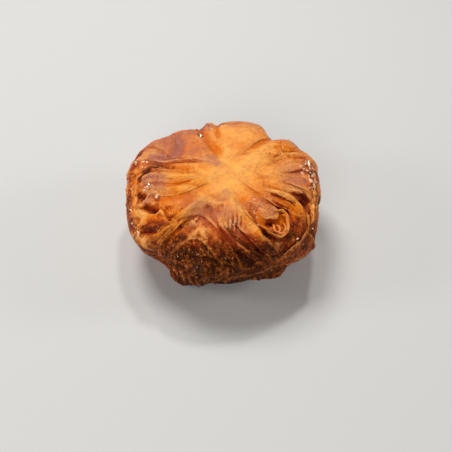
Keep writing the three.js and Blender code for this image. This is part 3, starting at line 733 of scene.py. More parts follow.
def front_of(bearing):
    """1 at the front of the cake, 0 at its back and sides."""
    turn = np.arctan2(np.sin(bearing + math.pi / 2), np.cos(bearing + math.pi / 2))
    return hill(turn / FRONT_WIDE)


def crust_points(bearing, arc, extra=0.0, over=None):
    """Points of the folded crust, raised by extra mm, with the marks of the relief."""
    high, marks = relief(bearing, arc, over=over)
    return skin_point(bearing, arc, high + extra), marks


# ---- colour marks --------------------------------------------------------------------------------------------------
class BroadForm:
    """Broad heights of the folded skin, blurred on a raster of the flat layout, so that ridges and valleys show, for
    painted highlights on ridges and painted shade and syrup in valleys.
    """

    half, count, blur = 72.0, 300, 3.0  # half the raster's side, its points along a side, width of the blur

    def __init__(self):
        side = np.linspace(-self.half, self.half, self.count)
        x, y = np.meshgrid(side, side, indexing="ij")
        bearing, arc = place_of(x.ravel(), y.ravel())
        arc = np.minimum(arc, MERIDIAN_LENGTH)
        high = relief(bearing, arc, fine=False)[0].reshape(x.shape)
        wave = np.fft.fftfreq(self.count, side[1] - side[0]) * 2 * np.pi
        keep = np.exp(-0.5 * (wave * self.blur) ** 2)
        self.high = np.fft.ifft2(np.fft.fft2(high) * keep[:, None] * keep[None, :]).real

    def at(self, bearing, arc):
        """Blurred heights at places, blended between the raster's points."""
        u, v = ((value + self.half) / (2 * self.half) * (self.count - 1) for value in flat_at(bearing, arc))
        i, j = (np.clip(value.astype(int), 0, self.count - 2) for value in (u, v))
        a, b = np.clip(u - i, 0, 1), np.clip(v - j, 0, 1)
        low = self.high[i, j] * (1 - a) + self.high[i + 1, j] * a
        high = self.high[i, j + 1] * (1 - a) + self.high[i + 1, j + 1] * a
        return low * (1 - b) + high * b


BROAD = BroadForm()

# Places of the crust's tones, some of them painted light and shade as noted: place, half widths, strength.
GOLD_AND_PAINTED_LIGHT = [
    ((78, 33), (17, 11), 1.0), ((101, 22), (4, 8), 1.0), ((12, 26), (13, 11), 0.85), ((34, 22), (9, 14), 1.0),
    ((29, 27), (5, 5), 1.0), ((17, 17), (6, 6), 1.0), ((-12, 30), (4, 5), 0.7), ((240, 29), (2.5, 2.5), 0.2),
    ((-64, 33), (4, 8), 0.5), ((184, 24), (10, 12), 0.8), ((230, 26), (7, 12), 0.35),
    # (205, 43.5) is painted light on the wedge; (210, 49) and (216, 52) are partly painted light on the lower left rim
    ((205, 43.5), (3.5, 2.5), 1.6), ((210, 49), (7, 2.5), 1.0), ((216, 52), (6, 3), 0.9), ((30, 36), (10, 8), 0.85),
    ((-24, 42), (2.5, 5), 0.5), ((193, 44), (3, 2), 0.6),
]
BLOOM = [
    ((138, 37), (18, 12), 0.72), ((132, 35), (4, 5), 1.0), ((138, 31), (3.5, 4), 1.0), ((147, 29), (5, 3), 1.0),
    ((154, 34), (6, 3), 0.9), ((128, 24), (9, 6), 0.55), ((116, 38), (6, 5), 0.9), ((187, 31), (8, 5), 0.75),
    ((196, 36), (5, 4), 0.5), ((1, 34), (9, 5), 0.75), ((12, 42), (9, 5), 0.6), ((246, 26), (10, 4.5), 0.55),
    ((268, 25), (8, 5), 0.6), ((-82, 33), (6, 5), 0.5), ((50, 45), (12, 4), 0.45), ((80, 49), (16, 5), 0.4),
    ((104, 40), (5, 5), 0.7), ((-44, 26), (6, 5), 0.5),
]
AMBER = [
    ((101, 22), (3.4, 7), 0.5), ((182, 50), (12, 7), 0.9), ((208, 25), (4, 4), 1.0), ((208, 31), (4, 4), 0.7),
    ((174, 27), (3, 8), 0.6), ((192, 21), (2.6, 6), 0.6), ((215, 13), (5, 3), 0.5), ((225, 35), (4, 7), 0.8),
    ((235, 40), (3, 9), 0.7), ((-36, 22), (3, 8), 0.7), ((-28, 40), (4, 6), 0.8), ((-68, 31), (3, 4), 0.8),
    ((-61, 39), (3, 4), 0.8), ((26, 33), (3, 8), 0.3), ((39, 37), (6, 5), 0.85), ((-35, 38), (6, 6), 0.6),
]
BROWN_AND_PAINTED_SHADE = [
    # (164, 33), (171, 38), (-15, 40.5), (-54, 34), (-59, 39) paint shade: left crack, hole, hollows by the rosette
    ((164, 33), (5, 5), 0.6), ((171, 38), (3, 4), 0.8), ((-15, 40.5), (3.6, 3.6), 0.5), ((-54, 34), (3, 3), 0.3),
    ((-59, 39), (3, 3), 0.7), ((221, 44), (6, 2.5), 0.35), ((10, 43), (6, 3.5), 0.6), ((-20, 47), (6, 4), 0.5),
    ((-34, 54), (13, 8), 0.95), ((258, 46), (12, 5), 1.0), ((264, 41), (7, 5), 0.85), ((246, 46), (7, 8), 0.95),
    ((238, 54), (5, 5), 0.9), ((272, 35), (3, 3), 0.5), ((278, 43), (5, 5), 0.9), ((258, 40), (3.5, 3), 0.8),
    ((247, 37), (3.5, 3), 0.55), ((-46, 56), (8, 6), 0.9), ((-31, 43), (3, 3), 0.4), ((6, 46), (4, 3.5), 0.5),
    ((110, 41), (2.5, 4), 0.4), ((-68, 41), (4, 3), 0.75), ((-38, 43), (3.4, 3), 0.75), ((251, 38), (10, 4.5), 0.6),
    ((276, 54), (12, 9), 1.0), ((-44, 45.5), (6, 3), 1.0), ((-50, 56), (10, 8), 0.6), ((-76, 41), (5, 5), 0.4),
    ((8, 45), (10, 3), 0.45), ((-52, 50), (14, 6), 0.65), ((246, 37), (8, 5), 0.25), ((250, 50), (16, 6), 0.75),
    ((-1, 66), (7, 15), 0.7),
]
PALE = [
    ((245, 32.5), (3.5, 3), 0.5), ((253, 36), (4, 3), 0.4), ((-56, 46), (3, 3), 0.6), ((276, 28), (5, 4), 0.5),
    ((22, 30), (10, 6), 0.35), ((236, 46), (6, 5), 0.3),
]


# Lines of each tone, stains and painted light: way, half width, strength. The edge lines are painted highlights,
# the crease lines painted shade, and some gold and bake lines, as noted, paint light and shade.
STAINS_AND_PAINTED_LIGHT = {
    "bloom": [
        ([(122, 44), (128, 37), (133, 33), (141, 30), (150, 31.5), (157, 36), (158, 40)], 2.8, 1.2),
        ([(181, 39), (180, 34), (183, 30)], 2.0, 0.9), ([(183, 39), (186, 33), (189, 28)], 1.8, 0.9),
        ([(187, 39), (192, 34), (199, 28)], 2.4, 0.7), ([(194, 43), (198, 39.5), (199, 36)], 1.1, 0.9),
        ([(234, 27), (240, 23), (250, 22), (262, 24), (272, 27)], 3.0, 0.6),
        ([(-51, 28.5), (-46, 31), (-42, 29)], 2.2, 0.6), ([(108, 6), (114, 12), (120, 18)], 2.6, 0.8),
        ([(276, 10), (273, 16), (258, 16)], 2.6, 0.55), ([(62, 43), (76, 42), (90, 43)], 5.0, 0.6),
        ([(0, 30), (-2, 36), (2, 40)], 2.5, 0.8), ([(101, 36), (101, 44)], 2.5, 0.9),
        ([(60, 47), (76, 49), (92, 48)], 3.0, 0.85), ([(112, 48), (125, 46), (138, 46), (150, 46)], 4.0, 0.75),
        ([(146, 38), (138, 40), (128, 40)], 4.0, 0.7), ([(122, 10), (129, 18)], 3.0, 0.6),
        ([(46, 45), (38, 46), (28, 46)], 2.6, 0.85),
    ],
    "gold": [
        ([(146, 33), (152, 35), (157, 40)], 1.8, 0.8),
        ([(180, 33), (182, 29), (184, 24), (182, 18), (175, 13)], 1.3, 1.0),
        # the line through (204, 44) is painted light on the wedge in the whorl
        ([(206, 25), (212, 18), (214, 13), (216, 9)], 1.3, 1.1), ([(200, 46), (204, 44), (210, 42)], 1.8, 1.8),
        # the line through (208, 49.5) is partly painted light on the lower left rim
        ([(203, 48), (208, 49.5), (215, 50), (223, 49)], 1.8, 0.8), ([(257, 31), (260, 34)], 1.2, 0.35),
        ([(22, 26), (28, 27.5)], 2.0, 1.0), ([(-24, 35), (-24, 37.5)], 1.8, 0.9),
        ([(242, 43.5), (248, 42)], 1.2, 0.6), ([(240, 59), (246, 57), (253, 56)], 2.6, 0.4),
        ([(-72, 18), (-68, 26), (-65.5, 31), (-67, 36)], 1.7, 1.0), ([(-57, 43), (-54, 46)], 2.0, 0.9),
        ([(208, 44), (213, 41)], 0.9, 0.8), ([(232, 38), (230, 43), (227, 48)], 1.6, 0.7),
        ([(-26, 24), (-24, 30), (-23.8, 36), (-27, 40)], 1.4, 0.9), ([(-12, 44), (-17, 47), (-26, 49)], 0.9, 0.8),
    ],
    # painted highlights along rims and crests
    "edge": [
        ([(136, 19), (150, 24), (156, 31), (158, 37)], 0.9, 0.35),
        ([(194, 43.4), (198.3, 39.8), (199.5, 36.5)], 0.6, 0.6),
        ([(201, 45.5), (205, 43.6), (210, 41.8)], 1.3, 1.0),
        ([(210, 46), (210.5, 42), (213, 37.5), (217, 35.4), (221, 36)], 0.7, 0.8),
        ([(203, 48), (208, 49.5), (215, 50), (223, 49)], 1.0, 0.6),
        ([(248, 38.5), (250.5, 35), (254, 34), (257, 36), (259, 38)], 1.3, 0.55), ([(31, 33), (30, 38)], 1.2, 0.8),
        ([(264, 56), (272, 57.5), (281, 58)], 0.6, 0.7),
        ([(-70, 20), (-67, 25), (-65.8, 30), (-66.5, 34)], 1.5, 0.9),
        ([(-50, 32.6), (-46.5, 34), (-44, 33.6)], 0.5, 0.7), ([(-52, 27.5), (-47, 27), (-42, 28.5)], 0.5, 0.5),
        ([(26, 33), (31, 37)], 2.5, 0.7), ([(66, 28), (78, 33), (88, 30)], 6.0, 0.6),
        ([(20, 11), (26, 17), (30, 24)], 3.0, 0.6), ([(-65, 40), (-62, 41)], 0.5, 0.7),
        ([(60, 50), (76, 51.5), (94, 50)], 0.8, 0.6),
    ],
    "bake": [
        ([(140, 16), (154, 24), (160, 31), (164, 38)], 1.6, 0.42),
        # painted shade on the far wall of the left crack
        ([(179, 41), (175, 39.5), (170, 38), (165, 36), (165, 31)], 2.0, 0.8),
        ([(186, 38), (195, 32), (198, 27), (198, 17)], 0.7, 0.3), ([(155, 45), (166, 46), (172, 48)], 3.2, 0.5),
        ([(187, 43), (191, 41.5), (196, 39.5)], 2.4, 0.55), ([(200, 41.5), (205, 39.5), (212, 37)], 2.0, 0.6),
        ([(213, 44), (219, 41), (225, 38.5), (229, 37.5)], 2.6, 0.5),
        ([(212, 46.5), (218, 44.5), (225, 40.8), (229, 40)], 2.2, 0.72), ([(213, 52), (217, 56)], 3.2, 0.6),
        ([(17, 46), (0, 45), (-15, 47)], 2.2, 0.5), ([(158, 44), (162, 47)], 2.4, 0.5),
        ([(182, 24), (187, 25)], 2.0, 0.35), ([(162, 25), (166, 26)], 2.0, 0.4),
        ([(235, 31), (231, 36), (226, 37)], 1.8, 0.45), ([(270, 31), (274, 33)], 2.0, 0.4),
        ([(256, 44), (266, 44)], 2.4, 0.95), ([(-1, 50), (-3, 54), (-2.6, 63), (-1.4, 74), (-1, 87)], 4.0, 1.0),
        ([(-58, 23), (-54, 25)], 1.8, 0.35), ([(88, 40.5), (94, 40.5)], 1.8, 0.4),
        ([(236, 44), (242, 41.5), (247, 39)], 2.8, 0.9), ([(232, 52), (239, 51), (246, 47)], 3.2, 1.1),
        ([(272, 35), (279, 38), (284, 41), (290, 45), (296, 50)], 2.0, 0.85),
        ([(-63, 25), (-62.5, 30), (-64, 35)], 0.9, 0.55), ([(-62, 37), (-61, 41)], 2.2, 0.7),
        ([(276, 31), (281, 32), (284, 33)], 2.0, 0.35), ([(-68, 43), (-63, 43), (-59, 47)], 3.4, 0.9),
        # the line through (-51, 35.5) is painted shade in the hollow under the ear of the rosette
        ([(-54, 33.5), (-51, 35.5), (-49, 36)], 1.6, 0.6), ([(-68, 36.5), (-66.5, 42)], 2.8, 0.52),
        ([(224, 33), (229, 37.5)], 3.0, 0.4), ([(217, 30), (221, 32)], 3.0, 0.38),
        ([(228, 30), (234, 28), (240, 27)], 2.2, 0.3), ([(248, 22), (254, 22)], 2.0, 0.25),
        ([(214, 36.5), (218, 36.5), (222, 35)], 2.0, 0.5), ([(204, 33), (208, 36)], 2.2, 0.3),
        ([(176, 47.5), (186, 49), (200, 51), (206, 52), (213, 55), (211, 63)], 2.8, 0.62),
        ([(205, 60), (212, 64), (218, 66)], 3.6, 0.8), ([(270, 32), (279, 35.5)], 2.4, 0.65),
        ([(266, 29), (271, 31)], 2.4, 0.45), ([(168, 46), (180, 49.5)], 1.8, 0.4),
        ([(233, 34), (236, 31.5)], 2.0, 0.5), ([(262, 21), (271, 21)], 2.8, 0.36),
        ([(-31, 42), (-36, 44.5), (-42, 46.5)], 2.4, 0.65), ([(184, 27), (185, 20)], 1.2, 0.3),
        ([(253, 30), (258, 32)], 2.2, 0.3), ([(150, 45), (161, 45)], 2.6, 0.6), ([(89, 42), (94, 42)], 2.5, 0.3),
        ([(103, 42), (109, 43)], 2.5, 0.3), ([(195, 46), (199, 44), (202, 42.5)], 1.8, 0.5),
        ([(215, 37.5), (219, 33)], 2.2, 0.22), ([(-62, 36), (-59, 39), (-56, 42), (-50, 45), (-42, 46)], 1.6, 0.6),
        # painted shade round the hole under the brow
        ([(-12, 36), (-11, 40), (-14, 43), (-19, 43), (-25, 41)], 2.0, 0.6),
        ([(6, 44), (13, 42), (19, 43)], 2.2, 0.7), ([(89, 39), (93, 41)], 2.6, 0.45),
        ([(104, 42), (108, 43.5)], 2.6, 0.45), ([(-28, 42), (-32, 43)], 2.0, 0.55),
        ([(258, 39), (261, 43), (264, 47)], 2.6, 1.0), ([(275, 46), (280, 50), (283, 56)], 3.0, 1.05),
        ([(1, 45.5), (7, 45.5)], 2.0, 0.5),
    ],
    "amber": [
        ([(160, 14), (163, 20), (162, 27)], 1.6, 0.7), ([(196, 27), (198, 22), (199, 15)], 1.2, 0.8),
        ([(172, 47), (180, 48.5), (188, 49.5), (196, 50)], 2.8, 1.0), ([(178, 26), (180, 20), (170, 13)], 1.6, 0.6),
        ([(204, 28), (210, 25), (214, 22)], 1.8, 1.0), ([(203, 20), (212, 16), (219, 14)], 1.2, 0.9),
        ([(212, 43), (215, 40), (221, 37), (227, 35)], 3.0, 1.0), ([(217, 30), (223, 35), (230, 35)], 3.0, 1.0),
        ([(231, 29), (227, 34), (222, 34)], 2.8, 1.0),
        ([(223, 49), (227, 44), (230, 39), (232, 35), (236, 30)], 1.5, 0.9),
        ([(233, 40), (238, 34), (244, 31)], 1.2, 0.8), ([(38, 31), (36, 36), (31, 41)], 2.0, 0.9),
        ([(-69, 36.5), (-67.5, 39), (-66, 43)], 2.2, 1.0), ([(-57, 28), (-58, 32), (-60, 36)], 1.6, 1.0),
        ([(-61, 17), (-59, 19.5)], 2.0, 1.0), ([(-42, 33.5), (-42.5, 36), (-45, 38.6)], 1.6, 1.0),
        ([(224, 48), (229, 42), (233, 36), (238, 29)], 3.0, 0.6), ([(145, 9), (152, 14)], 2.2, 0.6),
        ([(198, 46.5), (202, 47.5)], 1.8, 0.7), ([(-32, 27), (-30.5, 33), (-31.5, 39), (-36, 43)], 1.2, 0.9),
        ([(166, 27), (166, 22), (166, 16)], 1.6, 1.0),
    ],
    # painted shade along the folds
    "crease": [
        ([(180, 41), (177, 39), (171, 37.5), (166, 36)], 1.5, 1.0),
        ([(163, 34), (164, 30), (167, 25), (169, 22)], 0.6, 0.7), ([(188, 43), (192, 41.5), (196, 40)], 1.3, 0.6),
        ([(205, 39.5), (211, 37.2)], 1.2, 0.7), ([(213, 49), (218, 47.3), (223, 45), (227, 42)], 0.9, 0.8),
        ([(222, 47), (226, 45.5), (229, 44)], 0.6, 0.4),
        ([(233, 37), (237, 32.5), (243, 29.3), (251, 28), (261, 31), (267, 34)], 0.4, 0.5),
        ([(266, 31), (269, 34), (274, 38), (280, 42), (287, 46), (292, 50)], 1.2, 0.9),
        ([(-74, 36), (-71, 39), (-68, 43), (-63, 47)], 1.0, 0.9),
        ([(-70, 26), (-66, 31), (-63, 37), (-60, 41)], 0.8, 0.6),
        ([(-54, 33.5), (-51.5, 35.2), (-49, 36)], 1.3, 0.55),
        ([(-36.5, 28), (-35, 31), (-34, 34), (-36, 37.5), (-38.5, 41), (-43, 44)], 0.8, 0.8),
        ([(-32, 25), (-30.5, 28.5), (-29, 32), (-27, 36)], 0.7, 0.9),
        ([(-11, 38), (-12.5, 41), (-16, 42), (-22, 41)], 1.3, 0.7), ([(-10, 46), (-18, 49), (-28, 52)], 0.7, 0.6),
        ([(8, 33), (10, 37), (10.5, 40)], 0.6, 0.8), ([(108, 34), (111, 36)], 1.0, 0.8),
        ([(53, 37), (56, 33), (57, 26)], 0.6, 0.5),
    ],
    "pale": [
        ([(241, 33), (249, 31.5)], 1.6, 0.8), ([(-57, 43), (-54, 46)], 1.4, 0.7),
        ([(276, 27), (275.5, 33)], 0.8, 1.2), ([(279.5, 27), (279, 33)], 0.7, 1.2),
        ([(283, 27.5), (282.5, 34)], 0.7, 1.2),
    ],
}
STAIN_LINES = [(tone, spline(way), wide, strength) for tone in STAINS_AND_PAINTED_LIGHT for way, wide, strength in STAINS_AND_PAINTED_LIGHT[tone]]

# Channels of the colour attributes. The streak attribute also holds, as a place, where the noise of streaks is read.
# The crease channel carries painted shade and the edge channel a painted highlight; the material paints ridge lighter
# and valley darker.
ATTRIBUTES = {
    "tone": ("gold", "bake", "bloom", "amber"),
    "skin": ("crease", "edge", "gloss", "flaky"),
    "form": ("ridge", "valley", "pale", "full"),
    "streak": ("streak_x", "streak_y", "streak_z", "beyond"),
}
# What they are on the underside.
UNDER_MARKS = ((0.2, 0.75, 0.0, 0.1), (0.0, 0.0, 0.3, 0.6), (0.3, 0.2, 0.0, 1.0), (0.0, 0.0, 0.0, NO_LIP))
STREAK_RADIUS, STREAK_STRETCH = 14, 5  # the streaks' noise is read on a cylinder, drawn out along the meridian
# The front's and the foot's bake are partly real browning, partly painted shade.
FRONT_BAKE_AND_SHADE, FOOT_BAKE_AND_SHADE, FLANK_BAKE = 1.12, 0.6, 0.3  # least bake low on each


def stained(bearing, arc, points):
    """The strongest stain of each tone at each place: a hill across each line, with wandering edges."""
    x, y = flat_at(bearing, arc)
    stain = {tone: np.zeros_like(x) for tone in STAINS_AND_PAINTED_LIGHT}
    wander = 1 + 0.5 * noise(points, 2.6, 71) + 0.25 * noise(points, 1.1, 72)
    for tone, line, wide, strength in STAIN_LINES:
        near, distance, _, share = beside(line, x, y, 2.5 * wide)
        ends = 0.35 + 0.65 * smooth(0, 0.15, share) * (1 - smooth(0.85, 1, share))
        keep_stronger(stain[tone], strength * ends * hill(distance * wander[near] / wide), near)
    return stain


def tones(bearing, arc, points, marks):
    """The colour attributes of places, in the order and with the channels of ATTRIBUTES.

    Patches and the front's darker bake, partly painted shade, lie over the skin with wandering edges, under the
    stains. Ridges and valleys are the heights above and below the broad form; the material paints ridges lighter as
    highlight and valleys darker as shade. Gloss is highest where the dough is amber or lies low.
    """
    wander, mottle = rough(points, 7, 51), rough(points, 2.2, 61)
    turn, way = bearing + 0.06 * wander, arc + 2.5 * wander
    front, star = front_of(turn), smooth(27, 9, way)
    stain = stained(bearing, arc, points)
    local = marks["high"] - BROAD.at(bearing, arc) + 0.2 * mottle
    ridge, valley = smooth(0.0, 0.9, local), smooth(0.1, -0.8, local)
    gold = np.maximum.reduce([star, strongest(GOLD_AND_PAINTED_LIGHT, turn, way), stain["gold"]])
    # painted highlight: raised arms made more golden
    gold = gold + 0.35 * marks["ridge"] * smooth(46, 30, arc)
    front_bake_and_shade = FRONT_BAKE_AND_SHADE * front * smooth(30, 54, way)
    foot_bake_and_shade, flank_bake = FOOT_BAKE_AND_SHADE * smooth(60, 84, way), FLANK_BAKE * smooth(44, 58, way)
    bake = np.maximum.reduce([front_bake_and_shade, foot_bake_and_shade, flank_bake, strongest(BROWN_AND_PAINTED_SHADE, turn, way)])
    bake = np.maximum(bake * (1 - 0.7 * np.clip(stain["gold"], 0, 1)), stain["bake"])
    # painted highlight: less bake on rims
    bake = bake * (1 - 0.25 * marks["edge"]) + 0.14 * mottle + 0.08 * wander
    bloom = np.maximum(strongest(BLOOM, turn, way), stain["bloom"]) * (1 + 0.3 * mottle)
    amber = np.maximum(strongest(AMBER, turn, way), stain["amber"])
    amber = np.clip(amber + 0.6 * valley * (1 - front) * smooth(14, 24, arc), 0, 1)
    flaky = np.clip(front * smooth(32, 50, arc) + 0.5 * smooth(54, 66, arc), 0, 1)
    flaky = flaky * (1 - strongest(CALM, bearing, arc))
    gloss = 0.15 + 0.7 * amber + 0.3 * valley - 0.2 * star - 0.3 * flaky + 0.3 * mottle
    crease, edge = (np.maximum(marks[key], stain[key]) for key in ("crease", "edge"))
    pale = np.maximum(strongest(PALE, turn, way), stain["pale"])
    channels = (gold, bake, bloom, amber), (crease, edge, gloss, flaky), (ridge, valley, pale, np.ones_like(arc))
    across, along = STREAK_RADIUS * np.cos(bearing), STREAK_RADIUS * np.sin(bearing)
    streak = np.stack([across, along, arc / STREAK_STRETCH, marks["beyond"]], axis=-1)
    return *(np.clip(np.stack(values, axis=-1), 0, 1) for values in channels), streak


# ---- meshes --------------------------------------------------------------------------------------------------------
def mesh_object(name, points, faces, attributes=None, flat=False):
    """A mesh object from points in mm and an array of faces, with colour attributes for its points."""
    mesh = bpy.data.meshes.new(name)
    mesh.from_pydata((np.asarray(points) * MM).tolist(), [], faces)
    for key, values in (attributes or {}).items():
        layer = mesh.attributes.new(key, "FLOAT_COLOR", "POINT")
        layer.data.foreach_set("color", np.asarray(values, np.float32).ravel())
    mesh.polygons.foreach_set("use_smooth", np.full(len(mesh.polygons), not flat))
    mesh.update()
    made = bpy.data.objects.new(name, mesh)
    bpy.context.scene.collection.objects.link(made)
    return made


def grid_faces(rows, columns, start=0):
    """Quads between neighbouring rows of a grid whose last column joins its first."""
    r, c = np.meshgrid(np.arange(rows - 1), np.arange(columns), indexing="ij")
    after = (c + 1) % columns
    return (np.stack([r * columns + c, (r + 1) * columns + c, (r + 1) * columns + after, r * columns + after], -1)
            .reshape(-1, 4) + start)


def volume(points, quads):
    """Signed volume inside quads, which is negative where they face inwards."""
    a, b, c, d = (points[quads[:, i]] for i in range(4))
    return (np.cross(b, c) * a).sum() + (np.cross(c, d) * a).sum()


class Shells:
    """Gathers closed shells, each a path of closed sections, into one mesh, with the marks of their points."""

    def __init__(self):
        self.points, self.marks, self.faces, self.count = [], [], [], 0

    def add(self, points, marks):
        """Adds the sections points[ring, corner], capped at both ends, with the colour attributes of each point."""
        rings, corners = points.shape[:2]
        flat = points.reshape(-1, 3)
        quads = grid_faces(rings, corners)
        k = np.arange(1, corners - 1)
        cap = np.stack([np.zeros_like(k), k, k + 1], -1)
        caps = np.concatenate([cap, cap[:, ::-1] + (rings - 1) * corners])
        if volume(flat - flat.mean(0), quads) < 0:
            quads, caps = quads[:, ::-1], caps[:, ::-1]
        self.points.append(flat)
        self.marks.append([np.asarray(mark).reshape(-1, 4) for mark in marks])
        self.faces += (quads + self.count).tolist() + (caps + self.count).tolist()
        self.count += len(flat)

    def build(self, name, **options):
        """Makes the mesh object."""
        attributes = {key: np.concatenate(marks) for key, marks in zip(ATTRIBUTES, zip(*self.marks))}
        return mesh_object(name, np.concatenate(self.points), self.faces, attributes, **options)


def folded_section(upper, lower):
    """Rows of a sheet's upper side followed by its lower side backwards, so that each row is a closed section."""
    return np.concatenate([upper, lower[:, ::-1]], 1)


def put(piece, material):
    """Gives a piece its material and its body."""
    piece.data.materials.append(material)
    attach(piece, "root")
    return piece


# ---- materials -----------------------------------------------------------------------------------------------------
def linear(colour):
    """Linear values of an sRGB colour, with an alpha of 1."""
    c = np.array(colour)
    return (*np.where(c <= 0.04045, c / 12.92, ((c + 0.055) / 1.055) ** 2.4), 1.0)


class Tree:
    """Short hands for building a node tree."""

    def __init__(self, tree):
        self.nodes, self.links = tree.nodes, tree.links

    def node(self, kind, **settings):
        """A new node with some of its settings."""
        made = self.nodes.new(kind)
        for key, value in settings.items():
            setattr(made, key, value)
        return made

    def feed(self, socket, value):
        """Links a socket to the value, or sets it where the value isn't a socket."""
        if isinstance(value, bpy.types.NodeSocket):
            self.links.new(value, socket)
        else:
            socket.default_value = value

    def math(self, operation, a, b=0.0, clamp=False):
        """A sum, product or other operation on two values."""
        made = self.node("ShaderNodeMath", operation=operation, use_clamp=clamp)
        self.feed(made.inputs[0], a)
        self.feed(made.inputs[1], b)
        return made.outputs[0]

    def times(self, first, *others):
        """The product of several values."""
        for other in others:
            first = self.math("MULTIPLY", first, other)
        return first

    def plus(self, first, *others, clamp=False):
        """The sum of several values, clamped to 0 to 1 or not."""
        for i, other in enumerate(others, 1):
            first = self.math("ADD", first, other, clamp and i == len(others))
        return first

    def minus(self, a, b, clamp=False):
        """The first value less the second."""
        return self.math("SUBTRACT", a, b, clamp)

    def sway(self, noise, amount):
        """A noise that sways about 0 instead of about a half."""
        return self.times(self.minus(noise, 0.5), amount)

    def mix(self, share, a, b, blend="MIX"):
        """Colour a with a share of colour b laid over it."""
        made = self.node("ShaderNodeMix", data_type="RGBA", blend_type=blend)
        self.feed(made.inputs["Factor"], share)
        self.feed(made.inputs[6], a)
        self.feed(made.inputs[7], b)
        return made.outputs[2]

    def span(self, value, low, high, to_low=0.0, to_high=1.0):
        """A smooth step of the value from low to high."""
        made = self.node("ShaderNodeMapRange", interpolation_type="SMOOTHSTEP")
        for socket, number in zip(made.inputs[:5], (value, low, high, to_low, to_high)):
            self.feed(socket, number)
        return made.outputs[0]

    def noise(self, vector, scale, detail=4.0, roughness=0.55, distortion=0.0):
        """Noise from 0 to 1 at a place."""
        made = self.node("ShaderNodeTexNoise")
        self.feed(made.inputs["Vector"], vector)
        self.feed(made.inputs["Scale"], scale)
        self.feed(made.inputs["Detail"], detail)
        self.feed(made.inputs["Roughness"], roughness)
        self.feed(made.inputs["Distortion"], distortion)
        return made.outputs["Fac"]


CRACKLE = "baked crackle"


def crackle_group():
    """Node group: fine blisters, freckles and crackle of a baked crust, from object coordinates."""
    group = bpy.data.node_groups.new(CRACKLE, "ShaderNodeTree")
    for name, kind, way in (
        ("Vector", "NodeSocketVector", "INPUT"),
        ("Flaky", "NodeSocketFloat", "INPUT"),
        ("Freckle", "NodeSocketFloat", "OUTPUT"),
        ("Blister", "NodeSocketFloat", "OUTPUT"),
        ("Height", "NodeSocketFloat", "OUTPUT"),
    ):
        group.interface.new_socket(name, in_out=way, socket_type=kind)
    t = Tree(group)
    source, target = t.node("NodeGroupInput"), t.node("NodeGroupOutput")
    vector, flaky = source.outputs["Vector"], source.outputs["Flaky"]
    freckle = t.noise(vector, 1300.0, 4.0, 0.65)
    blister = t.noise(vector, 480.0, 4.0, 0.6, 0.7)
    cells = t.node("ShaderNodeTexVoronoi", feature="DISTANCE_TO_EDGE")
    t.feed(cells.inputs["Vector"], vector)
    t.feed(cells.inputs["Scale"], 760.0)
    cracks = t.span(cells.outputs["Distance"], 0.0, 0.12)
    height = t.plus(t.times(blister, 0.9), t.times(freckle, 0.16), t.times(cracks, flaky, 0.35))
    t.feed(target.inputs["Freckle"], freckle)
    t.feed(target.inputs["Blister"], blister)
    t.feed(target.inputs["Height"], height)
    return group


def principled(name):
    """A material with only a Principled shader, its tree and the shader."""
    material = bpy.data.materials.new(name)
    material.use_nodes = True
    tree = Tree(material.node_tree)
    shader = next(n for n in tree.nodes if n.type == "BSDF_PRINCIPLED")
    return material, tree, shader


def crust_marks(t):
    """The crust's marks as sockets, by name: three in the channels of each colour attribute and one in its alpha."""
    sockets = {}
    for attribute, names in ATTRIBUTES.items():
        source = t.node("ShaderNodeAttribute", attribute_name=attribute)
        parts = t.node("ShaderNodeSeparateColor")
        t.feed(parts.inputs[0], source.outputs["Color"])
        sockets[attribute] = source.outputs["Vector"]
        sockets.update(zip(names, (*parts.outputs, source.outputs["Alpha"])))
    return SimpleNamespace(**sockets)


def dough_textures(t, marks):
    """Noises and waves of the dough as sockets, by name.

    Streaks run along the meridian. Strata are a wavering sine wave of the distance across the nearest lip, close to
    it. Rugged is how much a place shows its flecks: most where it is flaky or dark.
    """
    place = t.node("ShaderNodeTexCoord").outputs["Object"]
    crackle = t.node("ShaderNodeGroup", node_tree=bpy.data.node_groups.get(CRACKLE) or crackle_group())
    t.feed(crackle.inputs["Vector"], place)
    t.feed(crackle.inputs["Flaky"], marks.flaky)
    bend = t.times(t.noise(place, 170.0, 3.0, 0.6), 9.0)
    wave = t.math("SINE", t.plus(t.times(marks.beyond, 6.3), bend))
    close = t.span(t.math("ABSOLUTE", marks.beyond), 0.2, 4.0, 1.0, 0.0)
    return SimpleNamespace(
        freckle=crackle.outputs["Freckle"],
        blister=crackle.outputs["Blister"],
        height=crackle.outputs["Height"],
        mottle=t.noise(place, 260.0, 5.0, 0.62),
        blotch=t.noise(place, 820.0, 2.0, 0.5, 0.3),
        streaks=t.minus(t.noise(marks.streak, 1.1, 4.0, 0.6, 0.4), 0.5),
        strata=t.times(t.span(wave, -0.2, 1.0), close),
        rugged=t.span(t.math("MAXIMUM", marks.flaky, t.times(marks.bake, 0.5)), 0.05, 0.6, 0.12, 1.0),
    )


class Paint:
    """A colour built up in coats, each laid over the ones below by a share."""

    def __init__(self, t, look):
        self.t, self.look, self.colour = t, look, None

    def tint(self, key):
        """A colour of the look, by its name."""
        return linear(getattr(self.look, key))

    def coat(self, share, top, blend="MIX"):
        """Lays on a colour: one of the look, by its name, or a socket."""
        self.colour = self.t.mix(share, self.colour, self.tint(top) if isinstance(top, str) else top, blend)


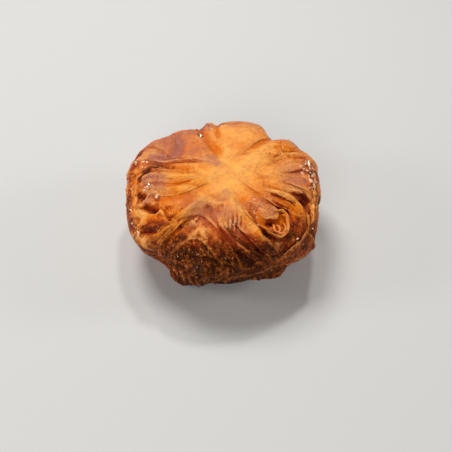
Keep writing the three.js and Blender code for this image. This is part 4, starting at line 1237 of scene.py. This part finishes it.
def lay_dough(paint, marks, tex):
    """Dough before its dark bake: orange to gold on ridges as painted highlight and in streaks, rust in valleys as
    painted shade, then amber and bloom.
    """
    t = paint.t
    # ridges lighter: painted highlight
    share = t.plus(t.times(marks.gold, 0.85), t.times(marks.ridge, 0.6), t.sway(tex.mottle, 1.1))
    share = t.plus(share, tex.streaks, clamp=True)
    paint.colour = t.mix(share, paint.tint("orange"), paint.tint("gold"))
    paint.coat(t.times(t.span(tex.blister, 0.42, 0.75), 0.4), "bloom")
    # rust in valleys: painted shade
    paint.coat(t.times(marks.valley, t.minus(0.9, t.times(marks.gold, 0.72))), "rust")
    paint.coat(t.times(tex.strata, t.span(marks.gold, 0.4, 1.0, 0.32, 0.05)), "rust")
    paint.coat(t.times(t.span(tex.blotch, 0.5, 0.72, 0.0, 0.42), tex.rugged), "rust")
    paint.coat(marks.amber, "amber")
    paint.coat(t.times(marks.bloom, t.span(tex.blister, 0.2, 0.55, 0.6, 1.0)), "bloom")
    paint.coat(t.times(marks.pale, 0.8), "pale")


def lay_bake(paint, marks, tex):
    """Dark bake, uneven with blisters and streaks and weaker on ridges as painted highlight: brown, then nearly black,
    with flecks that are strongest on ridges as painted highlight.
    """
    t = paint.t
    patchy = t.times(t.minus(tex.blister, 0.5), t.span(marks.gold, 0.3, 1.0, 1.1, 0.35))
    patchy = t.times(patchy, t.span(marks.flaky, 0.0, 0.6, 0.5, 0.75))
    strokes = t.times(tex.streaks, marks.flaky, 0.8)
    # less bake on ridges: painted highlight
    bake = t.minus(t.plus(patchy, marks.bake, strokes), t.times(marks.ridge, 0.22), clamp=True)
    paint.coat(t.span(bake, 0.08, 0.5), "brown")
    paint.coat(t.span(bake, 0.42, 0.85), "dark")
    fleck = t.span(t.plus(tex.mottle, t.sway(tex.freckle, 1.2)), 0.55, 0.85)
    # flecks strongest on ridges: painted highlight
    paint.coat(t.times(fleck, t.span(marks.bake, 0.3, 0.8), t.plus(t.times(marks.ridge, 0.6), 0.25)), "toast_and_highlight")


def lay_edges(paint, marks, tex):
    """Painted highlights on broken rims, painted shade in creases, and rust and pale specks."""
    t = paint.t
    # colour of the painted highlight on rims, also used for the pale blotches below
    rim = t.mix(marks.bloom, paint.tint("rim"), paint.tint("rosy"))
    broken = t.times(marks.edge, t.span(tex.mottle, 0.35, 0.6, 0.35, 1.0))
    # painted highlight on broken rims
    paint.coat(t.times(broken, t.span(marks.bake, 0.2, 1.0, 0.7, 0.45)), rim)
    # painted shade in creases, pits and gaps
    gap = t.mix(t.span(marks.bake, 0.25, 0.85), paint.tint("crease"), paint.tint("dark"))
    paint.coat(t.span(marks.crease, 0.12, 0.9), gap)
    speck = t.times(t.span(tex.freckle, 0.54, 0.68), t.span(marks.gold, 0.3, 1.0, 0.4, 0.15))
    paint.coat(t.times(speck, tex.rugged), "rust")
    light = t.times(t.span(tex.blotch, 0.48, 0.3), t.span(marks.bake, 0.4, 1.0, 0.45, 0.12))
    paint.coat(t.times(light, tex.rugged), rim)


def lay_syrup(paint, marks):
    """Clear caramel, which deepens dark dough, and syrup over the amber, except where the crust is dry and matt."""
    t = paint.t
    parts = t.node("ShaderNodeSeparateColor")
    t.feed(parts.inputs[0], paint.colour)
    dusty = t.minus(1.0, t.times(t.math("MAXIMUM", marks.bloom, marks.pale), 0.9))
    paint.coat(t.times(t.span(parts.outputs[0], 0.12, 0.8, 1.0, 0.0), dusty), "caramel", "MULTIPLY")
    paint.coat(t.times(marks.amber, 0.7, dusty), "syrup", "MULTIPLY")


def dough_height(t, marks, tex):
    """Height for the bump: crackle, stronger where flaky and weaker on gold, less the strata and the blotches."""
    crackle = t.times(tex.height, t.span(marks.flaky, 0.0, 1.0, 0.7, 1.3), t.span(marks.gold, 0.3, 1.0, 1.0, 0.5))
    blotches = t.times(tex.blotch, tex.rugged, -0.35)
    return t.plus(crackle, t.times(tex.streaks, 0.15), t.times(tex.strata, -0.15), blotches)


BUMP_DEPTH = 0.0013


def crust_material(name, look, wet_film=False):
    """Baked dough: tones from the crust's attributes, freckles and blisters from noise, and an uneven glaze. A wet
    film shows the dough below it through clear, shiny caramel.
    """
    material, t, shader = principled(name)
    marks = crust_marks(t)
    tex = dough_textures(t, marks)
    paint = Paint(t, look)
    lay_dough(paint, marks, tex)
    lay_bake(paint, marks, tex)
    lay_edges(paint, marks, tex)
    lay_syrup(paint, marks)
    t.feed(shader.inputs["Base Color"], paint.colour)
    shader.inputs["Specular Tint"].default_value = paint.tint("shine")
    if wet_film:
        shader.inputs["Roughness"].default_value = 0.1
        shader.inputs["Specular IOR Level"].default_value = 0.5
        return material
    wet = t.plus(t.times(marks.gloss, 0.9), t.sway(tex.blister, 2.4))
    t.feed(shader.inputs["Roughness"], t.span(wet, -0.1, 0.8, 0.55, 0.22))
    shader.inputs["Specular IOR Level"].default_value = 0.24
    bump = t.node("ShaderNodeBump")
    t.feed(bump.inputs["Height"], dough_height(t, marks, tex))
    bump.inputs["Distance"].default_value = BUMP_DEPTH
    bump.inputs["Strength"].default_value = 0.9
    t.feed(shader.inputs["Normal"], bump.outputs["Normal"])
    return material


def sugar_material(name, colour):
    """Grains of sugar stuck in the glaze."""
    material, _, shader = principled(name)
    shader.inputs["Base Color"].default_value = linear(colour)
    shader.inputs["Roughness"].default_value = 0.22
    shader.inputs["Coat Weight"].default_value = 1.0
    shader.inputs["Coat Roughness"].default_value = 0.05
    return material


def floor_material(name, colour):
    """A plain matt floor."""
    material, _, shader = principled(name)
    shader.inputs["Base Color"].default_value = (*colour, 1)
    shader.inputs["Roughness"].default_value = 0.8
    return material


# ---- settings ------------------------------------------------------------------------------------------------------
def colour(name, description, red, green, blue):
    """A colour setting from sRGB values up to 255."""
    value = (red / 255, green / 255, blue / 255)
    return FloatVectorProperty(
        name=name, description=description, default=value, size=3, min=0, max=1, subtype="COLOR_GAMMA"
    )


class LookSettings(bpy.types.PropertyGroup):
    """Colours of the baked dough and its glaze."""

    gold: colour("Gold", "Raised and least baked dough", 255, 176, 82)
    orange: colour("Orange", "Plain dough between the folds", 232, 126, 46)
    bloom: colour("Bloom", "Dull rosy skin of the petals", 172, 102, 86)
    amber: colour("Amber", "Dough soaked with syrup", 226, 116, 14)
    # Rust: laid in valleys as painted shade; in layers, blotches and freckles it is the dough's own colour.
    rust: colour("Rust", "Valleys, layers and freckles", 176, 72, 8)
    brown: colour("Brown", "Well baked dough", 138, 54, 13)
    dark: colour("Dark", "Dough baked nearly black", 54, 13, 2)
    # Toast: flecks on dark dough, laid most on ridges as a painted highlight.
    toast_and_highlight: colour("Toast", "Flecks on dark ridges", 204, 108, 40)
    pale: colour("Pale", "Dry matt places", 210, 144, 92)
    # Crease: painted shade, laid in folds, pits, gaps and under loose edges.
    crease: colour("Crease", "Depth of the folds", 138, 34, 3)
    # Rim and Rosy rim: painted highlights on thin rims and crests; they also tint pale blotches on dark dough.
    rim: colour("Rim", "Thin edges of dough", 255, 174, 98)
    rosy: colour("Rosy rim", "Thin edges where the skin has bloom", 238, 158, 120)
    shine: colour("Shine", "Tint of the glaze's highlights", 255, 216, 160)
    caramel: colour("Caramel", "Clear tint that deepens dark dough", 255, 198, 52)
    syrup: colour("Syrup", "Clear tint over the amber", 246, 230, 66)


class CrustSettings(bpy.types.PropertyGroup):
    """Fineness of the crust."""

    columns: IntProperty(name="Columns", description="Points round the cake", default=480, min=120, max=500)
    rows: IntProperty(name="Rows", description="Points from the middle of the top to the foot", default=204, min=60)
    front: FloatProperty(name="Front", description="How much finer the front is than the back", default=0.22, max=0.5)


class EdgesSettings(bpy.types.PropertyGroup):
    """Loose edges of dough."""

    spacing: FloatProperty(name="Spacing", description="Step along an edge", default=0.0004, unit="LENGTH")


class RosetteSettings(bpy.types.PropertyGroup):
    """Rolled-up rosette."""

    spacing: FloatProperty(name="Spacing", description="Step along a sheet", default=0.00016, unit="LENGTH")


class FlakesSettings(bpy.types.PropertyGroup):
    """Scattered flakes."""

    count: IntProperty(name="Count", description="Number of flakes", default=420, min=0, max=1000)
    size: FloatProperty(name="Size", description="Usual length of a flake", default=0.0026, unit="LENGTH")
    seed: IntProperty(name="Seed", description="Changes their places", default=5)


class CaramelSettings(bpy.types.PropertyGroup):
    """Drops of caramel."""

    rise: FloatProperty(name="Rise", description="Height of a drop as a share of its length", default=0.26)
    seed: IntProperty(name="Seed", description="Changes their places", default=23)


class SugarSettings(bpy.types.PropertyGroup):
    """Sugar grains."""

    tint: colour("Colour", "Colour of the grains", 255, 208, 164)
    seed: IntProperty(name="Seed", description="Changes their places", default=11)


class StageSettings(bpy.types.PropertyGroup):
    """Floor, lights and camera."""

    floor: FloatProperty(name="Floor", description="Side of the floor", default=2.4, unit="LENGTH")
    tint: FloatVectorProperty(
        name="Floor colour", description="Colour of the floor", default=(0.62, 0.61, 0.59), subtype="COLOR"
    )
    key: FloatProperty(name="Key light", description="Power of the large light behind", default=6.8, unit="POWER")
    lamp: FloatProperty(name="Lamp", description="Power of the small light that glints", default=2.6, unit="POWER")
    fill: FloatProperty(name="Fill light", description="Power of the light at the front", default=3.2, unit="POWER")
    side: FloatProperty(name="Side lights", description="Power of the light at either side", default=1.9, unit="POWER")
    sky: FloatProperty(name="Sky", description="Strength of the light from all round", default=0.08)


class KouignSettings(bpy.types.PropertyGroup):
    """All settings of the cake."""

    look: PointerProperty(type=LookSettings)
    crust: PointerProperty(type=CrustSettings)
    edges: PointerProperty(type=EdgesSettings)
    rosette: PointerProperty(type=RosetteSettings)
    flakes: PointerProperty(type=FlakesSettings)
    caramel: PointerProperty(type=CaramelSettings)
    sugar: PointerProperty(type=SugarSettings)
    stage: PointerProperty(type=StageSettings)


# ---- operators -----------------------------------------------------------------------------------------------------
def material_named(name, maker, *settings):
    """The material of that name, made the first time it is asked for."""
    return bpy.data.materials.get(name) or maker(name, *settings)


def baked_crust(context):
    """The material of all baked dough."""
    return material_named("baked crust", crust_material, context.scene.kouign.look)


class KOUIGN_OT_crust(bpy.types.Operator):
    """Makes the folded crust: the smooth form raised by the relief, over a grid of bearings and arcs.

    The grid is finer at the front, near the middle of the top and at the foot. The folded rim is closed by a flat
    underside, in rings.
    """

    bl_idname = "kouign.crust"
    bl_label = "Crust"

    def execute(self, context):
        settings = context.scene.kouign.crust
        columns, rows = settings.columns, settings.rows
        step = np.linspace(0, 1, rows + 1)[1:]
        arcs = MERIDIAN_LENGTH * (step - 0.035 * np.sin(2 * np.pi * step) + 0.02 * np.sin(np.pi * step))
        turn = np.linspace(0, 2 * np.pi, columns, endpoint=False)
        bearings = turn - settings.front * np.cos(turn)
        arc, bearing = np.meshgrid(arcs, bearings, indexing="ij")
        arc, bearing = np.append(0.0, arc.ravel()), np.append(0.0, bearing.ravel())
        points, marks = crust_points(bearing, arc)
        attributes = tones(bearing, arc, points, marks)
        rings = [points[-columns:] * (share, share, 0) for share in (0.66, 0.33)]
        points = np.concatenate([points, *rings, [[0, 0, 0]]])
        extra = len(points) - len(arc)
        attributes = {
            key: np.concatenate([mark, np.tile(value, (extra, 1))])
            for key, mark, value in zip(ATTRIBUTES, attributes, UNDER_MARKS)
        }
        k = np.arange(columns)
        after = (k + 1) % columns
        top = np.stack([np.zeros_like(k), k + 1, after + 1], -1)
        last = len(points) - 1
        base = last - columns
        under = np.stack([np.full_like(k, last), base + after, base + k], -1)
        sides = grid_faces(rows + len(rings), columns, start=1)
        faces = [*top.tolist(), *sides.tolist(), *under.tolist()]
        crust = mesh_object("crust", points, faces, attributes)
        put(crust, baked_crust(context))
        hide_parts("pastry")
        return {"FINISHED"}


def along(line, spacing):
    """Evenly spaced points of a line with their share of it and their left-hand normals."""
    step = np.hypot(*np.diff(line, axis=0).T)
    way = np.concatenate([[0], np.cumsum(step)])
    share = np.linspace(0, 1, max(8, int(way[-1] / spacing)))
    at = share * way[-1]
    points = np.stack([np.interp(at, way, line[:, i]) for i in (0, 1)], -1)
    tangent = np.gradient(points, axis=0)
    tangent /= np.hypot(*tangent.T)[:, None]
    return points, share, np.stack([-tangent[:, 1], tangent[:, 0]], -1)


def loose_edge(shells, k, layer, spacing):
    """Adds a thin sheet of dough along lip k.

    Across the sheet, from its free edge past the lip's line to its buried end, it follows the upper side carried on
    past the line. The free edge stands out by the lip's reach, made ragged by noise, curls up a little and ends
    thin. Each further layer stands out less and lies lower. The free edge gets a painted highlight and the underside
    painted shade.
    """
    lip = ALL_LIPS[k]
    points, share, left = along(LIP_LINES[k], spacing)
    inside = (share > 0.06) & (share < 0.97)
    points, share, left = points[inside], share[inside], left[inside]
    seed = 300 + 10 * k + layer
    line = np.stack([points[:, 0], points[:, 1], np.zeros(len(points))], -1)
    ragged = np.clip(0.65 + 0.9 * noise(line, 5.2, seed) + 0.3 * noise(line, 1.7, seed + 3), 0.0, 1.6)
    form = smooth(0.04, 0.3, share) * (1 - smooth(0.84, 0.98, share)) * smooth(0.0, 0.45, ragged)
    out = lip.reach * form * ragged * (1 - 0.25 * layer)
    f = np.linspace(0, 1, 10) ** 1.5
    across = -out[:, None] + f * (out[:, None] + LOOSE_INNER)
    x = points[:, :1] + lip.side * across * left[:, :1]
    y = points[:, 1:] + lip.side * across * left[:, 1:]
    bearing, arc = (values.ravel() for values in place_of(x, y))
    high, marks = relief(bearing, arc, over=k)
    across = across.ravel()
    from_edge = across + np.repeat(out, len(f))
    curl = 0.45 * np.repeat(noise(line, 5, seed + 5) * form, len(f)) * hill(from_edge / 1.3)
    droop = 0.12 * np.minimum(0, across) ** 2
    bury = 0.9 * smooth(0.45 * LOOSE_INNER, LOOSE_INNER, across) + 0.5 * (1 - np.repeat(form, len(f)))
    top = high + 0.1 + curl - droop - bury - LOOSE_STEP * layer
    thick = LOOSE_THICK * (0.7 + 0.3 * smooth(0, 0.5, from_edge)) + 0.5 * smooth(0.5, 2.0, from_edge)
    upper = skin_point(bearing, arc, top)
    lower = skin_point(bearing, arc, top - thick)
    # painted highlight on the free edge
    keep_stronger(marks["edge"], hill(from_edge / 0.45))
    # less painted shade near the free edge
    marks["crease"] *= 0.6 * smooth(0.0, 0.8, from_edge)
    above = tones(bearing, arc, upper, marks)
    below = [np.array(values) for values in above]
    # painted shade on the underside
    keep_stronger(below[1][:, 0], 0.6 * smooth(0.1, 0.9, from_edge))
    sides = [
        folded_section(*(values.reshape(len(points), len(f), -1) for values in pair))
        for pair in zip((upper, *above), (lower, *below))
    ]
    shells.add(sides[0], sides[1:])


class KOUIGN_OT_edges(bpy.types.Operator):
    """Makes the thin loose edges of dough: sheets along the folds, as many as each fold has layers"""

    bl_idname = "kouign.edges"
    bl_label = "Loose edges"

    def execute(self, context):
        settings = context.scene.kouign.edges
        for group, folds in (("top", range(len(LIPS))), ("flank", range(len(LIPS), len(ALL_LIPS)))):
            shells = Shells()
            for k in folds:
                for layer in range(ALL_LIPS[k].layers):
                    loose_edge(shells, k, layer, settings.spacing / MM)
            piece = shells.build(f"loose_edges_{group}")
            put(piece, baked_crust(context))
        return {"FINISHED"}


def smooth_ground(high):
    """Heights averaged along the path, so that an upright sheet doesn't follow every fold below it."""
    kernel = np.hanning(25)
    kernel /= kernel.sum()
    middle = high.mean(1)
    padded = np.pad(middle, len(kernel) // 2, mode="edge")
    return np.convolve(padded, kernel, mode="valid")[:, None]


def rosette_sheet(shells, way, rise, seed, spacing):
    """Adds one thin upright sheet of the rosette.

    Its middle runs along places on the skin, swayed a little by noise. Across it is a thin section with a rounded
    crest; the crest wavers, leans outwards and sinks at both ends, and the foot is sunk in the crust. The crest gets
    a painted highlight and the lower part painted shade.
    """
    points, share, left = along(spline(way), spacing)
    line = np.stack([points[:, 0], points[:, 1], np.full(len(points), 3.0 * seed)], -1)
    half = ROSETTE_THICK / 2 * (1 + 0.4 * noise(line, 2.2, seed + 1))
    ends = smooth(0, 0.14, share) * (1 - smooth(0.88, 1, share))
    crest = rise * (0.3 + 0.7 * ends) * (1 + 0.2 * noise(line, 2.4, seed + 2))
    side, level = (np.array(values) for values in SHEET_SECTION)
    sway = 0.3 * noise(line, 3.0, seed) + 0.12 * noise(line, 1.1, seed + 3)
    across = sway[:, None] + half[:, None] * side - 0.35 * np.maximum(0, level)
    x = points[:, :1] + left[:, :1] * across
    y = points[:, 1:] + left[:, 1:] * across
    bearing, arc = place_of(x, y)
    ground, marks = relief(bearing.ravel(), arc.ravel())
    ground = smooth_ground(ground.reshape(arc.shape))
    high = ground + np.where(level > 0, crest[:, None] * level, ROSETTE_SUNK * level)
    points = skin_point(bearing, arc, high)
    rings = len(arc)
    # painted highlight on the crest and painted shade low on the sheet
    edge, shade = np.tile(smooth(0.6, 1.0, level), rings), np.tile(smooth(0.8, -0.2, level), rings)
    marks.update(crease=0.8 * shade, edge=edge, ridge=np.zeros(arc.size))
    shells.add(points, tones(bearing.ravel(), arc.ravel(), points.reshape(-1, 3), marks))


class KOUIGN_OT_rosette(bpy.types.Operator):
    """Makes the rolled-up rosette at the front right: upright sheets of dough, one round the other"""

    bl_idname = "kouign.rosette"
    bl_label = "Rosette"

    def execute(self, context):
        settings = context.scene.kouign.rosette
        shells = Shells()
        for way, rise, seed in ROSETTE_SHEETS:
            rosette_sheet(shells, way, rise, seed, settings.spacing / MM)
        put(shells.build("rosette"), baked_crust(context))
        return {"FINISHED"}


def random_in(patches, count, generator):
    """Places scattered over patches by a normal spread, more over the larger ones: bearings in radians and arcs."""
    weight = np.array([size[0] * size[1] * share for _, size, share in patches], float)
    pick = generator.choice(len(patches), count, p=weight / weight.sum())
    at = np.array([patches[i][0] for i in pick], float)
    size = np.array([patches[i][1] for i in pick], float)
    across, down = (generator.normal(0, 0.55, count) * size[:, i] for i in (0, 1))
    arc = np.clip(at[:, 1] + down, 3, MERIDIAN_LENGTH - 6)
    return np.radians(at[:, 0]) + across / np.maximum(8, meridian(arc)[0]), arc


def each(values):
    """One value for each of several things, ready to combine with their grids of points."""
    return values[:, None, None]


class KOUIGN_OT_flakes(bpy.types.Operator):
    """Scatters thin flakes that have come loose at one side.

    A flake is a ragged rounded sheet over two shares from -1 to 1. It follows half of the folds below it, and rises
    along the first share. The raised end gets a painted highlight.
    """

    bl_idname = "kouign.flakes"
    bl_label = "Flakes"

    def execute(self, context):
        settings = context.scene.kouign.flakes
        generator = np.random.default_rng(settings.seed)
        count = settings.count
        bearing, arc = random_in(FLAKE_PATCHES, count, generator)
        x, y = flat_at(bearing, arc)
        turn = each(generator.uniform(0, 2 * np.pi, count))
        long = settings.size / MM * generator.lognormal(0, 0.35, count)
        wide = long * generator.uniform(0.35, 0.8, count)
        u, v = np.meshgrid(np.linspace(-1, 1, 6), np.linspace(-1, 1, 5), indexing="ij")
        shape = (count, *u.shape)
        wobble = 1 + 0.3 * generator.normal(0, 1, shape)
        du = each(long / 2) * u * (1 - 0.25 * v * v) * wobble
        dv = each(wide / 2) * v * (1 - 0.35 * u * u) * wobble
        c, s = np.cos(turn), np.sin(turn)
        bearing, arc = place_of(each(x) + c * du - s * dv, each(y) + s * du + c * dv)
        high, marks = relief(bearing.ravel(), arc.ravel())
        lift = each(generator.uniform(0.1, 0.45, count))
        rise = -0.3 + (lift + 0.3) * (0.5 + 0.5 * u) ** 1.6 - 0.12 * v * v
        high = high.reshape(shape)
        top = 0.5 * high + 0.5 * high.mean((1, 2), keepdims=True) + rise
        upper, lower = skin_point(bearing, arc, top), skin_point(bearing, arc, top - FLAKE_THICK)
        # painted highlight on the raised end
        marks["edge"] = 0.8 * np.tile(smooth(0.3, 1.0, u).ravel(), count)
        # less painted shade on flakes
        marks["crease"] *= 0.3
        attributes = tones(bearing.ravel(), arc.ravel(), upper.reshape(-1, 3), marks)
        attributes = [mark.reshape(*shape, 4) for mark in attributes]
        tint = each(generator.uniform(-0.15, 0.3, count))
        attributes[0][..., 1] = np.clip(attributes[0][..., 1] + tint, 0, 1)
        shells = Shells()
        for i in range(count):
            shells.add(folded_section(upper[i], lower[i]), [folded_section(mark[i], mark[i]) for mark in attributes])
        put(shells.build("flakes", flat=True), baked_crust(context))
        return {"FINISHED"}


def clusters(table, generator):
    """Places and sizes of things in clusters: places by a normal spread, sizes by a log-normal one."""
    places, sizes = [], []
    for at, spread, number, size in table:
        arc = np.clip(at[1] + generator.normal(0, spread[1] / 2, number), 2, MERIDIAN_LENGTH - 4)
        turn = generator.normal(0, spread[0] / 2, number) / np.maximum(6, meridian(arc)[0])
        places.append(np.stack([math.radians(at[0]) + turn, arc], -1))
        sizes.append(0.9 * size * generator.lognormal(0, 0.4, number))
    return np.concatenate(places), np.concatenate(sizes)


class KOUIGN_OT_caramel(bpy.types.Operator):
    """Sets drops of clear caramel on the folds.

    A drop is a stack of wavering ovals that narrow upwards, on folds that are smoothed below it.
    """

    bl_idname = "kouign.caramel"
    bl_label = "Caramel"

    def execute(self, context):
        settings = context.scene.kouign.caramel
        generator = np.random.default_rng(settings.seed)
        places, sizes = clusters(CARAMEL, generator)
        count, corners = len(places), 8
        x, y = flat_at(places[:, 0], places[:, 1])
        turn = each(generator.uniform(0, np.pi, count))
        ring, level = (np.array(values)[None, :, None] for values in DROP_SECTION)
        angle = np.linspace(0, 2 * np.pi, corners, endpoint=False)
        wobble = 1 + 0.25 * generator.normal(0, 1, (count, 1, corners))
        long = each(sizes / 2) * ring * wobble
        wide = long * each(generator.uniform(0.4, 1.0, count))
        u, v = long * np.cos(angle), wide * np.sin(angle)
        c, s = np.cos(turn), np.sin(turn)
        bearing, arc = place_of(each(x) + u * c - v * s, each(y) + u * s + v * c)
        arc = np.minimum(arc, MERIDIAN_LENGTH - 1)
        high, marks = relief(bearing.ravel(), arc.ravel())
        high = high.reshape(arc.shape)
        high = 0.4 * high + 0.6 * high.mean((1, 2), keepdims=True)
        points = skin_point(bearing, arc, high + level * settings.rise * each(sizes) + DROP_LIFT)
        # less painted shade under the drops
        marks["crease"] *= 0.1
        attributes = tones(bearing.ravel(), arc.ravel(), points.reshape(-1, 3), marks)
        attributes = [mark.reshape(*arc.shape, 4) for mark in attributes]
        shells = Shells()
        for i in range(count):
            shells.add(points[i], [mark[i] for mark in attributes])
        film = material_named("set caramel", crust_material, context.scene.kouign.look, True)
        put(shells.build("caramel_drops"), film)
        return {"FINISHED"}


def grain():
    """Corners and faces of a regular solid with twenty faces."""
    g = (1 + 5**0.5) / 2
    corners = [(-1, g, 0), (1, g, 0), (-1, -g, 0), (1, -g, 0), (0, -1, g), (0, 1, g)]
    corners += [(0, -1, -g), (0, 1, -g), (g, 0, -1), (g, 0, 1), (-g, 0, -1), (-g, 0, 1)]
    faces = [(0, 11, 5), (0, 5, 1), (0, 1, 7), (0, 7, 10), (0, 10, 11), (1, 5, 9), (5, 11, 4), (11, 10, 2)]
    faces += [(10, 7, 6), (7, 1, 8), (3, 9, 4), (3, 4, 2), (3, 2, 6), (3, 6, 8), (3, 8, 9), (4, 9, 5)]
    faces += [(2, 4, 11), (6, 2, 10), (8, 6, 7), (9, 8, 1)]
    return np.array(corners) / math.hypot(1, g), np.array(faces)


class KOUIGN_OT_sugar(bpy.types.Operator):
    """Scatters sugar grains in clusters.

    A grain is a solid with twenty faces, stretched, with its corners moved in or out, and turned about any axis.
    """

    bl_idname = "kouign.sugar"
    bl_label = "Sugar"

    def execute(self, context):
        settings = context.scene.kouign.sugar
        generator = np.random.default_rng(settings.seed)
        places, sizes = clusters(SUGAR, generator)
        count = len(places)
        centre, _ = crust_points(places[:, 0], places[:, 1], SUGAR_LIFT)
        unit, faces = grain()
        stretch = generator.uniform(0.4, 1.25, (count, 1, 3))
        jitter = 1 + 0.26 * generator.normal(0, 1, (count, len(unit), 1))
        axis = generator.normal(0, 1, (count, 3))
        axis /= np.linalg.norm(axis, axis=1)[:, None]
        angle = each(generator.uniform(0, 2 * np.pi, count))
        local = unit[None] * stretch * jitter * each(sizes / 2)
        c, s = np.cos(angle), np.sin(angle)
        k = axis[:, None, :]
        turned = local * c + np.cross(np.broadcast_to(k, local.shape), local) * s
        turned += k * (local * k).sum(-1, keepdims=True) * (1 - c)
        points = (centre[:, None] + turned).reshape(-1, 3)
        points[:, 2] = np.maximum(points[:, 2], 0.02)
        faces = (faces[None] + each(np.arange(count)) * len(unit)).reshape(-1, 3)
        piece = mesh_object("sugar_grains", points, faces.tolist(), flat=True)
        put(piece, material_named("sugar grain", sugar_material, settings.tint))
        return {"FINISHED"}


# Square lights: name, place and side in metres, and the setting of its power.
LIGHTS = [
    ("key", (-0.28, 0.42, 0.93), 0.4, "key"),
    ("lamp", (0.12, 0.5, 0.9), 0.1, "lamp"),
    ("fill", (-0.2, -0.8, 0.5), 0.4, "fill"),
    ("left", (-0.9, -0.1, 0.4), 0.25, "side"),
    ("right", (0.9, 0.05, 0.4), 0.25, "side"),
]
LIGHT_AIM = (0, 0, 0.02)
SKY_COLOUR = (1.0, 0.98, 0.95, 1)

CAMERA_ELEVATION = math.radians(48)
CAMERA_DISTANCE = 0.320
SENSOR = 36
CAMERA_LENS = SENSOR * 640 / 452  # a field 452 wide at a focal length of 640
CAMERA_AIM = (0.00125, -0.010)  # metres right of and above the middle of the cake, in the picture's plane
CAKE_MIDDLE = (0, 0, 0.023)


def add_light(name, place, side, power):
    """A square soft light that looks at the cake."""
    light = bpy.data.lights.new(name, "AREA")
    light.size = side
    light.energy = power
    made = bpy.data.objects.new(name, light)
    made.location = place
    aim = Vector(LIGHT_AIM) - made.location
    made.rotation_euler = aim.to_track_quat("-Z", "Y").to_euler()
    bpy.context.scene.collection.objects.link(made)


def add_camera():
    """The camera looks down on the front of the cake."""
    s, c = math.sin(CAMERA_ELEVATION), math.cos(CAMERA_ELEVATION)
    ahead, right, up = Vector((0, c, -s)), Vector((1, 0, 0)), Vector((0, s, c))
    aim = Vector(CAKE_MIDDLE) + right * CAMERA_AIM[0] + up * CAMERA_AIM[1]
    data = bpy.data.cameras.new("camera")
    data.sensor_width = SENSOR
    data.lens = CAMERA_LENS
    data.clip_start, data.clip_end = 0.01, 10
    camera = bpy.data.objects.new("camera", data)
    camera.location = aim - ahead * CAMERA_DISTANCE
    camera.rotation_mode = "QUATERNION"
    camera.rotation_quaternion = ahead.to_track_quat("-Z", "Y")
    bpy.context.scene.collection.objects.link(camera)
    bpy.context.scene.camera = camera


class KOUIGN_OT_stage(bpy.types.Operator):
    """Makes the floor, the lights and the camera"""

    bl_idname = "kouign.stage"
    bl_label = "Stage"

    def execute(self, context):
        settings = context.scene.kouign.stage
        half = settings.floor / 2 / MM
        corners = [(-half, -half, 0), (half, -half, 0), (half, half, 0), (-half, half, 0)]
        floor = mesh_object("floor", corners, [(0, 1, 2, 3)])
        floor.data.materials.append(material_named("pale floor", floor_material, settings.tint))
        for name, place, side, power in LIGHTS:
            add_light(name, place, side, getattr(settings, power))
        world = bpy.data.worlds.new("studio")
        world.use_nodes = True
        background = world.node_tree.nodes["Background"]
        background.inputs["Color"].default_value = SKY_COLOUR
        background.inputs["Strength"].default_value = settings.sky
        context.scene.world = world
        context.scene.view_settings.view_transform = "Standard"
        add_camera()
        return {"FINISHED"}


class KOUIGN_PT_panel(bpy.types.Panel):
    """Lists the settings of each group with the operator that makes it"""

    bl_idname = "KOUIGN_PT_panel"
    bl_label = "Kouign amann"
    bl_space_type = "VIEW_3D"
    bl_region_type = "UI"
    bl_category = "Kouign amann"

    def draw(self, context):
        settings = context.scene.kouign
        for name in settings.__annotations__:
            group = getattr(settings, name)
            box = self.layout.box()
            for key in group.__annotations__:
                box.prop(group, key)
            if name != "look":
                box.operator(f"kouign.{name}")


SETTINGS = (
    LookSettings,
    CrustSettings,
    EdgesSettings,
    RosetteSettings,
    FlakesSettings,
    CaramelSettings,
    SugarSettings,
    StageSettings,
    KouignSettings,
)
OPERATORS = (
    KOUIGN_OT_crust,
    KOUIGN_OT_edges,
    KOUIGN_OT_rosette,
    KOUIGN_OT_flakes,
    KOUIGN_OT_caramel,
    KOUIGN_OT_sugar,
    KOUIGN_OT_stage,
)
CLASSES = (*SETTINGS, *OPERATORS, KOUIGN_PT_panel)


def register():
    for item in CLASSES:
        bpy.utils.register_class(item)
    bpy.types.Scene.kouign = PointerProperty(type=KouignSettings)


def unregister():
    del bpy.types.Scene.kouign
    for item in reversed(CLASSES):
        bpy.utils.unregister_class(item)


def main():
    """Makes the stage and every piece."""
    register()
    bpy.ops.kouign.stage()
    bpy.ops.kouign.crust()
    bpy.ops.kouign.edges()
    bpy.ops.kouign.rosette()
    bpy.ops.kouign.flakes()
    bpy.ops.kouign.caramel()
    bpy.ops.kouign.sugar()


if __name__ == "__main__":
    main()
